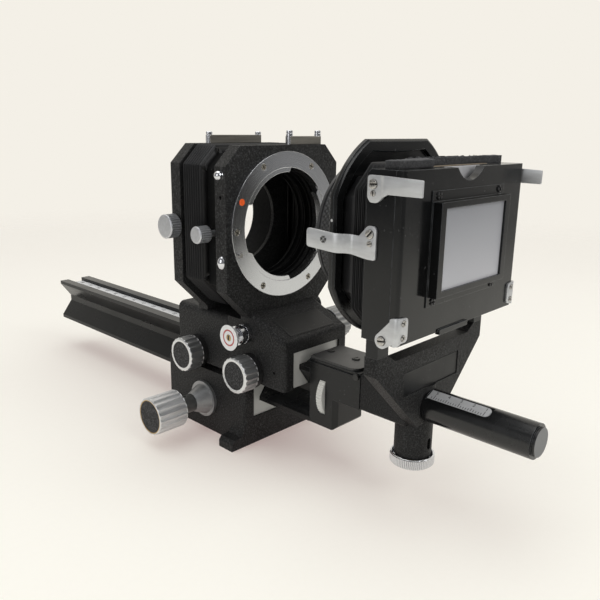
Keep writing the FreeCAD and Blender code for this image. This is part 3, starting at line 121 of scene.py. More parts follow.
class StudioSettings(bpy.types.PropertyGroup):
    backdrop: FloatVectorProperty(name="Backdrop", description="Colour of the floor and backdrop",
                                  default=(0.905, 0.871, 0.799), size=3, subtype="COLOR")
    world_light: FloatProperty(name="World Light", description="Strength of the even light", default=0.55, min=0.0)
    key_power: FloatProperty(name="Key Power", description="Power of the main lamp", default=5.0, unit="POWER")
    top_power: FloatProperty(name="Top Power", description="Power of the lamp overhead", default=4.0, unit="POWER")
    fill_power: FloatProperty(name="Fill Power", description="Power of the lamp on the left", default=2.5,
                              unit="POWER")
    floor_share: FloatProperty(name="Floor Share", description="Share of the seen floor that is paint", default=0.9,
                               min=0.0, max=1.0)
    floor_level: FloatProperty(name="Floor Level", description="Brightness of white paint on the floor",
                               default=0.88, min=0.0)
    room: FloatProperty(name="Room", description="Brightness of the room in front of the backdrop", default=0.22,
                        min=0.0, max=1.0)
    lens: FloatProperty(name="Lens", description="Focal length of the camera for a 36 mm sensor", default=39.324,
                        subtype="DISTANCE_CAMERA")


class UnitSettings(bpy.types.PropertyGroup):
    bellows: PointerProperty(name="Bellows", description="Bellows sizes", type=BellowsSizes)
    knobs: PointerProperty(name="Knobs", description="Knob sizes", type=KnobSizes)
    colours: PointerProperty(name="Colours", description="Colours of the finishes", type=FinishColours)
    studio: PointerProperty(name="Studio", description="Light and camera", type=StudioSettings)


def settings():
    return bpy.context.scene.bellows_unit


# ---------------------------------------------------------------- node trees

class Term:
    """A node's output that can be reckoned with: each sum, product or power adds a Math node."""

    def __init__(self, graph, socket):
        self.graph, self.socket = graph, socket

    def __add__(self, other):
        return self.graph.maths("ADD", self, other)

    def __sub__(self, other):
        return self.graph.maths("SUBTRACT", self, other)

    def __rsub__(self, other):
        return self.graph.maths("SUBTRACT", other, self)

    def __mul__(self, other):
        return self.graph.maths("MULTIPLY", self, other)

    def __truediv__(self, other):
        return self.graph.maths("DIVIDE", self, other)

    def __pow__(self, other):
        return self.graph.maths("POWER", self, other)


class Graph:
    """A node tree that is filled from left to right."""

    def __init__(self, tree):
        self.tree = tree

    def node(self, kind, inputs=None, **values):
        node = self.tree.nodes.new(kind)
        for key, value in values.items():
            setattr(node, key, value)
        for key, value in (inputs or {}).items():
            self.set(node.inputs[key], value)
        return node

    def add(self, kind, inputs=None, take=0, **values):
        """Adds a node and returns one of its outputs."""
        return Term(self, self.node(kind, inputs, **values).outputs[take])

    def set(self, socket, value):
        if isinstance(value, Term):
            self.tree.links.new(value.socket, socket)
        elif socket.type == "RGBA":
            socket.default_value = (*value, 1.0)
        else:
            socket.default_value = value

    def maths(self, operation, *values):
        return self.add("ShaderNodeMath", dict(enumerate(values)), operation=operation)

    def apart(self, vector):
        return [Term(self, output) for output in self.node("ShaderNodeSeparateXYZ", {0: vector}).outputs]

    def vector(self, *parts):
        """A vector from its X, Y and Z."""
        return self.add("ShaderNodeCombineXYZ", dict(enumerate(parts)))

    def length(self, first, second):
        return self.maths("SQRT", first * first + second * second)

    def seen(self, *kinds):
        """One for the named kinds of ray, otherwise nought."""
        path = self.node("ShaderNodeLightPath")
        share = Term(self, path.outputs[kinds[0]])
        for kind in kinds[1:]:
            share = self.maths("MAXIMUM", share, Term(self, path.outputs[kind]))
        return share

    def blend(self, share, first, second):
        """Mixes two shaders."""
        return self.add("ShaderNodeMixShader", {0: share, 1: first, 2: second})


# ---------------------------------------------------------------- materials

LIGHT_WEAR, FULL_WEAR = (0.86, 0.985), (0.80, 0.97)     # how square an edge is where wear begins and ends
DARK, PALE = (0, 0, 0), (1, 1, 1)


def shade(colour, by):
    return tuple(c * by for c in colour)


class Finish(Graph):
    """A material with one Principled shader."""

    def __init__(self, name):
        self.material = bpy.data.materials.new(name)
        self.material.use_nodes = True
        super().__init__(self.material.node_tree)
        self.tree.nodes.clear()
        self.shader = self.node("ShaderNodeBsdfPrincipled")
        self.output = self.node("ShaderNodeOutputMaterial", {"Surface": Term(self, self.shader.outputs[0])})
        self.place = self.add("ShaderNodeTexCoord", take="Object")

    def noise(self, scale, detail=2.0, rough=0.5, vector=None):
        return self.add("ShaderNodeTexNoise", {"Vector": vector or self.place, "Scale": scale, "Detail": detail,
                                               "Roughness": rough}, "Fac")

    def cells(self, scale):
        return self.add("ShaderNodeTexVoronoi", {"Vector": self.place, "Scale": scale}, "Distance")

    def stretched(self, scale, turn=(0.0, 0.0, 0.0)):
        return self.add("ShaderNodeMapping", {"Vector": self.place, "Scale": scale, "Rotation": turn})

    def stored(self, name):
        """An attribute that a piece carries; nought where it has none."""
        return self.add("ShaderNodeAttribute", take="Fac", attribute_name=name)

    def spread(self, source, low, high, start=0.3, end=0.7):
        """Maps start to end onto low to high."""
        return self.add("ShaderNodeMapRange", {"Value": source, "From Min": start, "From Max": end,
                                               "To Min": low, "To Max": high})

    def ramp(self, source, stops, blending="LINEAR"):
        node = self.node("ShaderNodeValToRGB", {"Fac": source})
        band = node.color_ramp
        band.interpolation = blending
        while len(band.elements) < len(stops):
            band.elements.new(0.5)
        for element, (spot, colour) in zip(band.elements, stops):
            element.position = spot
            element.color = (*colour, 1.0)
        return Term(self, node.outputs[0])

    def mix(self, share, first, second):
        return self.add("ShaderNodeMix", {"Factor": share, 6: first, 7: second}, 2, data_type="RGBA")

    def varied(self, source, colour, low, high):
        """A colour between two of its shades."""
        return self.mix(self.spread(source, 0.0, 1.0), shade(colour, low), shade(colour, high))

    def bump(self, height, strength, distance, under=None):
        inputs = {"Height": height, "Strength": strength, "Distance": distance * MM}
        if under:
            inputs["Normal"] = under
        return self.add("ShaderNodeBump", inputs)

    def edge(self, radius, wear=LIGHT_WEAR):
        """Rounded normal near an edge, and how much an edge is worn."""
        soft = self.add("ShaderNodeBevel", {"Radius": radius * MM}, samples=4)
        flat = self.add("ShaderNodeNewGeometry", take="Normal")
        turn = self.add("ShaderNodeVectorMath", {0: soft, 1: flat}, "Value", operation="DOT_PRODUCT")
        return soft, self.spread(turn, 1.0, 0.0, *wear)

    def axis_distance(self, height):
        """Distance from a Y axis at this height."""
        x, _, z = self.apart(self.place)
        return self.length(x, z - height * MM)

    def finish(self, colour, roughness, metallic, normal=None, **more):
        """Sets the shader's main inputs, and others by name with _ for a space."""
        given = {"Base Color": colour, "Roughness": roughness, "Metallic": metallic}
        if normal:
            given["Normal"] = normal
        given.update((key.replace("_", " "), value) for key, value in more.items())
        for key, value in given.items():
            self.set(self.shader.inputs[key], value)
        return self.material


def crinkle_paint(name="crinkle_paint", size=1.0, lift=1.0):
    """Rough stove paint: small ridges with painted highlight on each ridge and painted shade between the ridges; thin
    on the edges.
    """
    f = Finish(name)
    base = shade(settings().colours.paint, lift)
    soft, worn = f.edge(0.35, FULL_WEAR)
    grain = f.noise(1500 / size, 4.0, 0.62)
    # Painted light: the grain that raises the ridges also colours them, lighter on each ridge and darker in the
    # hollows between.
    lit_ridge_shaded_valley = f.ramp(grain, [(0.38, shade(base, 0.35)), (0.53, base), (0.66, shade(base, 3.4))])
    dusty = f.mix(f.spread(f.noise(70, 3.0), 0.0, 0.35), lit_ridge_shaded_valley, shade(base, 1.6))
    colour = f.mix(worn * f.spread(grain, 0.05, 0.6), dusty, (0.10, 0.10, 0.098))
    height = grain + f.cells(1900 / size) * 0.6
    return f.finish(colour, f.spread(grain, 0.66, 0.42), 0.0, f.bump(height, 0.75, 0.18, soft),
                    Specular_IOR_Level=0.22)


def satin_black(name="satin_black", rough=0.32, lift=1.0, wear=0.5, gloss=0.34):
    """Smooth black lacquer with dust specks, faint handling haze and pale edges, partly worn bare and partly painted
    highlight.
    """
    f = Finish(name)
    base = shade(settings().colours.black, lift)
    soft, worn = f.edge(0.3, FULL_WEAR)
    haze = f.noise(45, 4.0, 0.6)
    specks = f.ramp(f.noise(900, 1.0), [(0.0, DARK), (0.74, DARK), (0.78, PALE)])
    dusted = f.mix(specks * 0.30, f.varied(haze, base, 1.0, 2.0), (0.14, 0.14, 0.14))
    # Pale edges: partly worn lacquer, partly a painted highlight along the edges; a wear above 1 paints a solid
    # highlight line.
    colour = f.mix(worn * f.spread(f.noise(300), wear * 0.3, wear), dusted, (0.17, 0.18, 0.19))
    return f.finish(colour, f.spread(haze, rough - 0.08, rough + 0.10), 0.0,
                    f.bump(f.noise(2600, 3.0), 0.10, 0.05, soft), Specular_IOR_Level=gloss)


def metal(name, colour, rough, scratch=0.25, metallic=1.0, grain=(1.0, 1.0, 1.0)):
    """Turned, brushed or plated metal; grain stretches the brushing along an axis."""
    f = Finish(name)
    soft, worn = f.edge(0.2, FULL_WEAR)
    lines = f.noise(600, 3.0, 0.6, f.stretched(grain))
    haze = f.noise(60, 3.0)
    tone = f.varied(lines, colour, 1.0 - scratch * 0.5, 1.0 + scratch * 0.15)
    tone = f.mix(f.spread(haze, 0.0, 1.0) * 0.18, tone, shade(colour, 0.72))
    tone = f.mix(worn * 0.5, tone, shade(colour, 1.35))
    # Painted shade in flutes, knurls and screw slots, from the stored mask.
    tone = f.mix(f.stored("groove") * 0.8, tone, shade(colour, 0.12))
    polish = f.spread(lines * 0.6 + haze * 0.4, max(rough - 0.06, 0.03), rough + 0.10)
    return f.finish(tone, polish, metallic, f.bump(lines, 0.06 + scratch * 0.2, 0.02, soft))


def ring_metal():
    """Satin plate of the lens mount: fine turning lines round the lens axis and a bright rim."""
    f = Finish("ring_silver")
    soft, worn = f.edge(0.3, FULL_WEAR)
    lines = f.noise(1.0, 2.0, 0.5, f.vector(f.axis_distance(LENS_AXIS_Z) * 1300.0))
    tone = f.mix(f.spread(lines, 0.0, 1.0), (0.58, 0.59, 0.61), (0.63, 0.64, 0.66))
    tone = f.mix(f.spread(f.noise(90, 3.0), 0.0, 1.0) * 0.15, tone, (0.50, 0.51, 0.53))
    tone = f.mix(worn * 0.7, tone, (0.85, 0.86, 0.88))
    return f.finish(tone, f.spread(lines, 0.24, 0.28), 1.0, soft)


def blacked_inside(name, colour, height, inner):
    """Metal whose bore is painted matt black."""
    f = Finish(name)
    soft, _ = f.edge(0.2)
    outside = f.maths("GREATER_THAN", f.axis_distance(height), inner * MM)
    lines = f.noise(700, 3.0)
    tone = f.mix(outside, f.varied(lines, (0.006, 0.006, 0.006), 1.0, 2.0), f.varied(lines, colour, 0.85, 1.05))
    return f.finish(tone, 0.85 - outside * 0.5, outside, f.bump(lines, 0.1, 0.03, soft), Specular_IOR_Level=0.2)


def screw_metal(name, colour, rough=0.28, metallic=1.0):
    """Screw head: turned face, with painted shade in its slots and in a thin ring round the head."""
    f = Finish(name)
    soft, worn = f.edge(0.1)
    lines = f.noise(1800, 3.0)
    tone = f.mix(worn * 0.5, f.varied(lines, colour, 0.75, 1.1), shade(colour, 1.3))
    # Painted shade in the slots and round the head, from the stored mask.
    tone = f.mix(f.stored("groove"), tone, shade(colour, 0.10))
    return f.finish(tone, f.spread(lines, rough - 0.06, rough + 0.1), metallic, f.bump(lines, 0.1, 0.02, soft))


def nylon():
    """Cream sliding liner, faintly soiled along its faces."""
    f = Finish("nylon")
    base = tuple(settings().colours.nylon)
    soft, _ = f.edge(0.25)
    soil, fine_grain = f.noise(120, 4.0, 0.65), f.noise(1400, 2.0)
    colour = f.mix(f.spread(soil, 0.0, 0.45), base, shade(base, 0.74))
    colour = f.mix(f.spread(fine_grain, 0.0, 0.2), colour, shade(base, 1.08))
    return f.finish(colour, f.spread(soil, 0.38, 0.55), 0.0, f.bump(fine_grain, 0.12, 0.04, soft))


def anodised_rail():
    """Black anodised extrusion with fine draw lines along its length."""
    f = Finish("anodised_rail")
    base = tuple(settings().colours.black)
    soft, worn = f.edge(0.3, FULL_WEAR)
    draw = f.noise(900, 3.0, 0.55, f.stretched((1.0, 0.01, 1.0)))
    haze = f.noise(35, 4.0)
    colour = f.mix(f.spread(draw, 0.0, 0.6), shade(base, 0.9), shade(base, 1.9))
    colour = f.mix(f.spread(haze, 0.0, 0.5), colour, shade(base, 1.5))
    colour = f.mix(worn * f.spread(haze, 0.2, 0.7), colour, (0.22, 0.22, 0.22))
    return f.finish(colour, f.spread(haze, 0.22, 0.36), 0.0, f.bump(draw, 0.14, 0.03, soft),
                    Specular_IOR_Level=0.24)


def dark_inset():
    """Grey vinyl disc let into a knob's face."""
    f = Finish("dark_inset")
    grain = f.noise(1600, 4.0, 0.6)
    colour = f.ramp(grain, [(0.36, (0.010, 0.010, 0.011)), (0.52, (0.024, 0.024, 0.025)),
                            (0.68, (0.085, 0.085, 0.085))])
    return f.finish(colour, f.spread(grain, 0.7, 0.5), 0.0, f.bump(f.cells(1300), 0.35, 0.06),
                    Specular_IOR_Level=0.3)


def bellows_cloth():
    """Coated cloth: fine leather grain, painted shade in the valleys of the pleats and the ridges painted greyer,
    partly rubbed wear and partly painted sheen.
    """
    f = Finish("bellows_cloth")
    base = (0.009, 0.009, 0.0095)
    cloud = f.noise(110, 3.0)
    # Painted shade in the pleats' valleys; the lighter ridges are partly rubbed wear, partly painted sheen.
    folded = f.mix(f.stored("ridge"), shade(base, 0.35), shade(base, 2.2))
    colour = f.mix(f.spread(cloud, 0.0, 0.5), folded, shade(base, 1.3))
    return f.finish(colour, f.spread(cloud, 0.34, 0.52), 0.0, f.bump(f.cells(1700), 0.25, 0.06),
                    Specular_IOR_Level=0.36)


def felt_cloth():
    """Felt: tangled fibres with pale lint; painted top light makes the faces that point up paler."""
    f = Finish("felt_cloth")
    base = tuple(settings().colours.felt)
    fibres = f.noise(1300, 5.0, 0.72, f.stretched((1.0, 2.2, 1.6), (0.3, 0.2, 0.7)))
    lint = f.ramp(f.noise(620, 3.0, 0.7), [(0.0, DARK), (0.58, DARK), (0.72, PALE)])
    colour = f.ramp(fibres, [(0.28, shade(base, 0.4)), (0.5, base), (0.75, shade(base, 2.1))])
    colour = f.mix(lint * 0.5, colour, shade(base, 4.5))
    up = f.apart(f.add("ShaderNodeNewGeometry", take="Normal"))[2]
    # Painted light from above: faces that point up are made paler, more so on the lighter fibres.
    dust = f.spread(up, 0.0, 0.8, 0.3, 0.95) * f.spread(fibres, 0.2, 1.0, 0.3, 0.65)
    return f.finish(f.mix(dust, colour, shade(base, 2.6)), 0.95, 0.0,
                    f.bump(fibres + f.cells(900) * 0.5, 0.9, 0.25), Sheen_Weight=0.10, Sheen_Roughness=0.5,
                    Specular_IOR_Level=0.2)


def opal_sheet():
    """Milky acrylic with faint dust; painted shade darkens its top under the bezel, so that it is brighter towards its
    foot.
    """
    f = Finish("opal_sheet")
    dust, reach = f.noise(900, 2.0), 14.0
    # Painted shade under the top of the bezel: the colour runs from dark at the top to light at the foot.
    painted_light_share = f.spread(f.apart(f.place)[2], 1.0, 0.0, (COPY_Z - reach) * MM, (COPY_Z + reach) * MM)
    colour = f.mix(painted_light_share, (0.235, 0.24, 0.255), (0.50, 0.50, 0.515))
    colour = f.mix(f.spread(f.noise(28, 2.0), 0.0, 0.3), colour, (0.36, 0.36, 0.375))
    return f.finish(colour, f.spread(dust, 0.28, 0.38), 0.0, f.bump(dust, 0.03, 0.02), Specular_IOR_Level=0.3)


def enamel(name, colour, rough=0.3):
    """Plain enamel or filled lettering, slightly uneven."""
    f = Finish(name)
    drift = f.noise(700, 3.0)
    return f.finish(f.varied(drift, colour, 0.86, 1.05), f.spread(drift, rough, rough + 0.15), 0.0,
                    f.bump(drift, 0.08, 0.03))


def target_disc():
    """White enamelled disc with a red ring."""
    f = Finish("target_disc")
    _, y, z = f.apart(f.place)
    share = f.length(y - DISC_CENTRE[0] * MM, z - DISC_CENTRE[1] * MM) / (DISC_R * MM)
    rings = f.ramp(share, [(0.0, (0.80, 0.80, 0.79)), (0.52, (0.42, 0.02, 0.02)), (0.645, (0.82, 0.82, 0.81))],
                   "CONSTANT")
    wear = f.noise(500, 3.0)
    soft, _ = f.edge(0.2)
    return f.finish(f.mix(f.spread(wear, 0.0, 0.25), rings, (0.62, 0.61, 0.58)), f.spread(wear, 0.28, 0.45), 0.15,
                    f.bump(wear, 0.06, 0.03, soft))


# ---------------------------------------------------------------- geometry nodes

class Shaper(Graph):
    """A geometry node tree with named inputs, which ends in one plain painted mesh."""

    def __init__(self, name, floats, **others):
        super().__init__(bpy.data.node_groups.new(name, "GeometryNodeTree"))
        face = self.tree.interface
        inputs = {"Geometry": "Geometry", **dict.fromkeys(floats, "Float"), **others, "Material": "Material"}
        for label, kind in inputs.items():
            face.new_socket(label, in_out="INPUT", socket_type="NodeSocket" + kind)
        face.new_socket("Geometry", in_out="OUTPUT", socket_type="NodeSocketGeometry")
        self.given = {output.name: Term(self, output) for output in self.node("NodeGroupInput").outputs}

    def copies(self, points, copy, **more):
        inputs = {"Points": points, "Instance": copy, **more}
        return self.add("GeometryNodeInstanceOnPoints", inputs)

    def moved(self, geometry, place):
        return self.add("GeometryNodeSetPosition", {"Geometry": geometry, "Position": place})

    def storing(self, geometry, name, value):
        return self.add("GeometryNodeStoreNamedAttribute", {"Geometry": geometry, "Name": name, "Value": value},
                        data_type="FLOAT", domain="POINT")

    def named(self, name, kind):
        return self.add("GeometryNodeInputNamedAttribute", {"Name": name}, "Attribute", data_type=kind)

    def end(self, geometry):
        plain_mesh = self.add("GeometryNodeRealizeInstances", {0: geometry})
        done = self.add("GeometryNodeSetMaterial", {"Geometry": plain_mesh, "Material": self.given["Material"]})
        self.node("NodeGroupOutput", {0: done})
        return self.tree


def fluting_tree():
    """Cuts flutes or knurls round the X axis into a turned shape, as a cutter would: nothing inside them moves. It
    also stores painted shade for the bottoms of the flutes, scaled by the Shadow input.
    """
    s = Shaper("fluting", ("Radius", "Depth", "Sharpness", "Lead", "Grooves", "Start", "End", "Shadow"),
               Count="Int")
    g = s.given
    x, y, z = s.apart(s.add("GeometryNodeInputPosition"))
    around = (s.maths("ARCTAN2", z, y) / TURN + 1.0) * g["Count"]
    lean = x * g["Lead"]
    waves = [s.maths("ABSOLUTE", s.maths("FRACT", way + 50.0) * 2.0 - 1.0) for way in (around + lean, around - lean)]
    crest = s.maths("MAXIMUM", *waves) ** g["Sharpness"]
    dip = crest * g["Grooves"] + (1.0 - crest) * (1.0 - g["Grooves"])
    inside = s.maths("GREATER_THAN", x, g["Start"]) * s.maths("LESS_THAN", x, g["End"])
    far = s.length(y, z)
    factor = s.maths("MINIMUM", far, g["Radius"] - dip * inside * g["Depth"]) / s.maths("MAXIMUM", far, 1e-9)
    cut = s.moved(g["Geometry"], s.vector(x, y * factor, z * factor))
    # Painted shade in the flutes: deepest in their bottoms, which the metal finishes darken.
    return s.end(s.storing(cut, "groove", dip ** 2.0 * (inside * g["Shadow"])))


def fixing_tree():
    """Sets one head on each point, turned about its axis by a random angle with a fixed seed."""
    s = Shaper("fixings", ("Turn",), Head="Object", Axis="Vector", Seed="Int")
    g = s.given
    head = s.add("GeometryNodeObjectInfo", {"Object": g["Head"]}, "Geometry")
    draw = s.node("FunctionNodeRandomValue", {"Seed": g["Seed"]}, data_type="FLOAT")
    angle = Term(s, next(output for output in draw.outputs if output.type == "VALUE")) * g["Turn"]
    spin = s.add("FunctionNodeAxisAngleToRotation", {"Axis": g["Axis"], "Angle": angle})
    return s.end(s.copies(g["Geometry"], head, Rotation=spin, Scale=s.named("size", "FLOAT")))


def ruling_tree():
    """Ruled scale along Y: short, middle and long marks by fives and tens."""
    s = Shaper("ruling", ("Pitch", "Short", "Middle", "Long", "Width", "Thickness"), Count="Int")
    g = s.given
    line = s.add("GeometryNodeMeshLine", {"Count": g["Count"], "Offset": s.vector(0.0, g["Pitch"])})
    index = s.add("GeometryNodeInputIndex")
    five, ten = (s.maths("COMPARE", s.maths("MODULO", index, every), 0.0, 0.1) for every in (5.0, 10.0))
    length = g["Short"] + (five * (g["Middle"] - g["Short"]) + ten * (g["Long"] - g["Middle"]))
    mark = s.add("GeometryNodeMeshCube", {"Size": (1.0, 1.0, 1.0)})
    mark = s.add("GeometryNodeTransform", {"Geometry": mark, "Translation": s.vector(0.5)})
    return s.end(s.copies(line, mark, Scale=s.vector(length, g["Width"], g["Thickness"])))


def pleat_tree():
    """Pleated sleeve along Y over an outline: each point of the outline moves in by its own inward vector."""
    s = Shaper("pleats", ("Depth", "Fineness", "Start", "End"), Points="Int", Rows="Int", Folds="Int")
    g = s.given
    grid = s.add("GeometryNodeMeshGrid", {"Size X": 1.0, "Size Y": 1.0, "Vertices X": g["Points"] + 1.0,
                                          "Vertices Y": g["Rows"]})
    place = s.add("GeometryNodeInputPosition")
    u, v, _ = s.apart(place)
    column = s.maths("MODULO", s.maths("ROUND", (u + 0.5) * g["Points"]) + 0.25, g["Points"])

    def on_outline(value):
        return s.add("GeometryNodeSampleIndex", {"Geometry": g["Geometry"], "Value": value, "Index": column},
                     data_type="FLOAT_VECTOR", domain="POINT")

    along = v + 0.5
    valley = s.maths("ABSOLUTE", s.maths("COSINE", along * math.pi * g["Folds"])) ** g["Fineness"]
    pulled = s.add("ShaderNodeVectorMath", {0: on_outline(s.named("inward", "FLOAT_VECTOR")),
                                            "Scale": valley * g["Depth"]}, operation="SCALE")
    x, _, z = s.apart(on_outline(place))
    spot = s.vector(x, g["Start"] + along * (g["End"] - g["Start"]), z)
    spot = s.add("ShaderNodeVectorMath", {0: spot, 1: pulled}, operation="ADD")
    # The ridge mask that the cloth uses for painted shade in the valleys and lighter ridges.
    shaped = s.moved(s.storing(grid, "ridge", 1.0 - valley), spot)
    return s.end(s.add("GeometryNodeMergeByDistance", {"Geometry": shaped, "Distance": 0.01 * MM}))


TREES = {}


def grown(maker, mesh, finish, **values):
    """Runs a node tree on a mesh and returns the plain mesh that it makes."""
    if maker not in TREES:
        TREES[maker] = maker()
    values["Material"] = PALETTE[finish]
    seed = linked("seed", mesh)
    modifier = seed.modifiers.new("shape", "NODES")
    modifier.node_group = TREES[maker]
    for item in modifier.node_group.interface.items_tree:
        if item.in_out == "INPUT" and item.name in values:
            modifier[item.identifier] = values[item.name]
    made = plain(seed)
    if not made.polygons:
        raise RuntimeError("the node tree made no faces: " + maker.__name__)
    made.polygons.foreach_set("material_index", [0] * len(made.polygons))
    return painted(made, finish)


# ---------------------------------------------------------------- mesh tools

PALETTE = {}


def painted(mesh, finish):
    """Gives a mesh one finish from the palette."""
    mesh.materials.clear()
    mesh.materials.append(PALETTE[finish])
    return mesh


def linked(name, data):
    """A new object in the scene."""
    obj = bpy.data.objects.new(name, data)
    bpy.context.scene.collection.objects.link(obj)
    return obj


def plain(obj):
    """The evaluated mesh of an object, which is removed."""
    bpy.context.view_layer.update()
    depsgraph = bpy.context.evaluated_depsgraph_get()
    mesh = bpy.data.meshes.new_from_object(obj.evaluated_get(depsgraph), depsgraph=depsgraph)
    bpy.data.objects.remove(obj)
    return mesh


def box(node):
    """Low and high corner of a node, in millimetres."""
    return [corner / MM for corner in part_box(node)]


def piece(name, mesh, body, node, instead=True):
    """Puts a finished mesh in the scene as a piece that rides on a body; with instead, it stands in for the node,
    which is hidden.
    """
    mesh.name = name
    obj = linked(name, mesh)
    if body:
        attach(obj, body)
    if instead:
        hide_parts(node)
    return obj


def new_mesh(verts, faces=None):
    mesh = bpy.data.meshes.new("shape")
    mesh.from_pydata([tuple(v) for v in verts], [], faces or [])
    mesh.update()
    return mesh


def opened(mesh):
    bm = bmesh.new()
    bm.from_mesh(mesh)
    return bm


def closed(bm, mesh):
    bm.to_mesh(mesh)
    bm.free()
    return mesh


def tidy(mesh):
    """Merges doubles and points the faces outwards."""
    bm = opened(mesh)
    bmesh.ops.remove_doubles(bm, verts=bm.verts, dist=0.002 * MM)
    bmesh.ops.recalc_face_normals(bm, faces=bm.faces)
    return closed(bm, mesh)


def smooth(mesh, angle=32):
    """Shades smooth across edges flatter than the angle."""
    bm = opened(mesh)
    for face in bm.faces:
        face.smooth = True
    for edge in bm.edges:
        edge.smooth = not (len(edge.link_faces) == 2 and edge.calc_face_angle(0) > math.radians(angle))
    return closed(bm, mesh)


def all_smooth(mesh):
    mesh.polygons.foreach_set("use_smooth", [True] * len(mesh.polygons))
    return mesh


def baked(mesh, *steps):
    """Applies modifiers to a mesh. Each step is (kind, settings)."""
    obj = linked("baked", mesh)
    for kind, values in steps:
        modifier = obj.modifiers.new(kind.lower(), kind)
        for key, value in values.items():
            setattr(modifier, key, value)
    return plain(obj)


def bevel(width, segments, angle):
    """The step that bevels the edges sharper than the angle."""
    return "BEVEL", {"width": width * MM, "segments": segments, "limit_method": "ANGLE",
                     "angle_limit": math.radians(angle)}


def bevelled(mesh, width, segments=2):
    return baked(mesh, bevel(width, segments, 35))


def joined(*meshes):
    """One mesh from several, each keeping its materials."""
    bm = bmesh.new()
    slots = []
    for mesh in meshes:
        start = len(bm.faces)
        bm.from_mesh(mesh)
        bm.faces.ensure_lookup_table()
        worn = list(mesh.materials)
        slots += [material for material in worn if material not in slots]
        for face in bm.faces[start:]:
            face.material_index = slots.index(worn[face.material_index]) if worn else 0
    made = bpy.data.meshes.new("joined")
    for material in slots:
        made.materials.append(material)
    return closed(bm, made)


def ring_mesh(loops):
    """Closed mesh over loops of as many points each, the last loop next to the first, in millimetres."""
    turns, count = len(loops), len(loops[0])
    faces = []
    for k in range(turns):
        here, there = k * count, (k + 1) % turns * count
        faces += [(here + j, here + (j + 1) % count, there + (j + 1) % count, there + j) for j in range(count)]
    return tidy(new_mesh([Vector(spot) * MM for loop in loops for spot in loop], faces))


def turned(profile, segments):
    """Turned shape about the X axis from (x, radius) points; the profile is a closed loop."""
    angles = [TURN * k / segments for k in range(segments)]
    return ring_mesh([[(x, r * math.cos(a), r * math.sin(a)) for x, r in profile] for a in angles])


def fine(points, step, counting=math.ceil):
    """The same closed loop with points about a step apart; none is further with the usual counting."""
    out = []
    for (x0, r0), (x1, r1) in zip(points, points[1:] + points[:1]):
        count = max(1, counting(math.hypot(x1 - x0, r1 - r0) / step))
        out += [(x0 + (x1 - x0) * k / count, r0 + (r1 - r0) * k / count) for k in range(count)]
    return out


def curved(before, corner, after, reach, steps):
    """Points of the curve that takes a corner's place; before and after lead away from the corner."""
    start, end = corner + before.normalized() * reach, corner + after.normalized() * reach
    shares = [k / steps for k in range(steps + 1)]
    return [tuple(start * (1 - t) ** 2 + corner * 2 * t * (1 - t) + end * t * t) for t in shares]


def rounded(points, radii, steps=5):
    """Closed outline with its corners rounded, all by one radius or each by its own."""
    if not isinstance(radii, list):
        radii = [radii] * len(points)
    out = []
    for k, radius in enumerate(radii):
        corner = Vector(points[k])
        before, after = Vector(points[k - 1]) - corner, Vector(points[(k + 1) % len(points)]) - corner
        angle = before.angle(after)
        if angle > math.pi - 0.02:
            out.append(tuple(corner))
        else:
            reach = min(radius / math.tan(angle / 2), before.length * 0.49, after.length * 0.49)
            out += curved(before, corner, after, reach, steps)
    return out


def bent(path, radius, steps=4):
    """An open path with its inner corners rounded."""
    out = [tuple(path[0])]
    for last, corner, following in zip(path, path[1:], path[2:]):
        corner = Vector(corner)
        before, after = Vector(last) - corner, Vector(following) - corner
        out += curved(before, corner, after, min(radius, before.length * 0.45, after.length * 0.45), steps)
    return out + [tuple(path[-1])]


def arc(centre, radius, start, end, steps):
    """Points round a centre, angles in degrees."""
    angles = [math.radians(start + (end - start) * k / steps) for k in range(steps + 1)]
    return [(centre[0] + radius * math.cos(a), centre[1] + radius * math.sin(a)) for a in angles]


def slab(outline, low, high, axis="y"):
    """Outline pushed along an axis, in millimetres."""
    spots = {"x": lambda a, b, c: (c, a, b), "y": lambda a, b, c: (a, c, b), "z": lambda a, b, c: (a, b, c)}[axis]
    count = len(outline)
    verts = [Vector(spots(a, b, level)) * MM for level in (low, high) for a, b in outline]
    faces = [tuple(range(count)), tuple(range(2 * count - 1, count - 1, -1))]
    faces += [(k, (k + 1) % count, count + (k + 1) % count, count + k) for k in range(count)]
    return tidy(new_mesh(verts, faces))


def rectangle(x0, x1, y0, y1):
    return [(x0, y0), (x1, y0), (x1, y1), (x0, y1)]


def brick(x0, x1, y0, y1, z0, z1):
    return slab(rectangle(x0, x1, y0, y1), z0, z1, "z")


def mirrored(mesh):
    """Mirror image across X = 0, faces outwards."""
    copy = mesh.copy()
    copy.transform(Matrix.Scale(-1, 4, Vector((1, 0, 0))))
    copy.flip_normals()
    return copy


X_TO_Y = Matrix.Rotation(math.pi / 2, 4, "Z")
X_TO_Z = Matrix.Rotation(-math.pi / 2, 4, "Y")


def placed(mesh, to, turn=None):
    """Turns a mesh about the origin and moves it to a place in millimetres."""
    if turn is not None:
        mesh.transform(turn)
    mesh.transform(Matrix.Translation(Vector(to) * MM))
    return mesh


def steps_of(path):
    return [(Vector(q) - Vector(p)).length for p, q in zip(path, path[1:])]


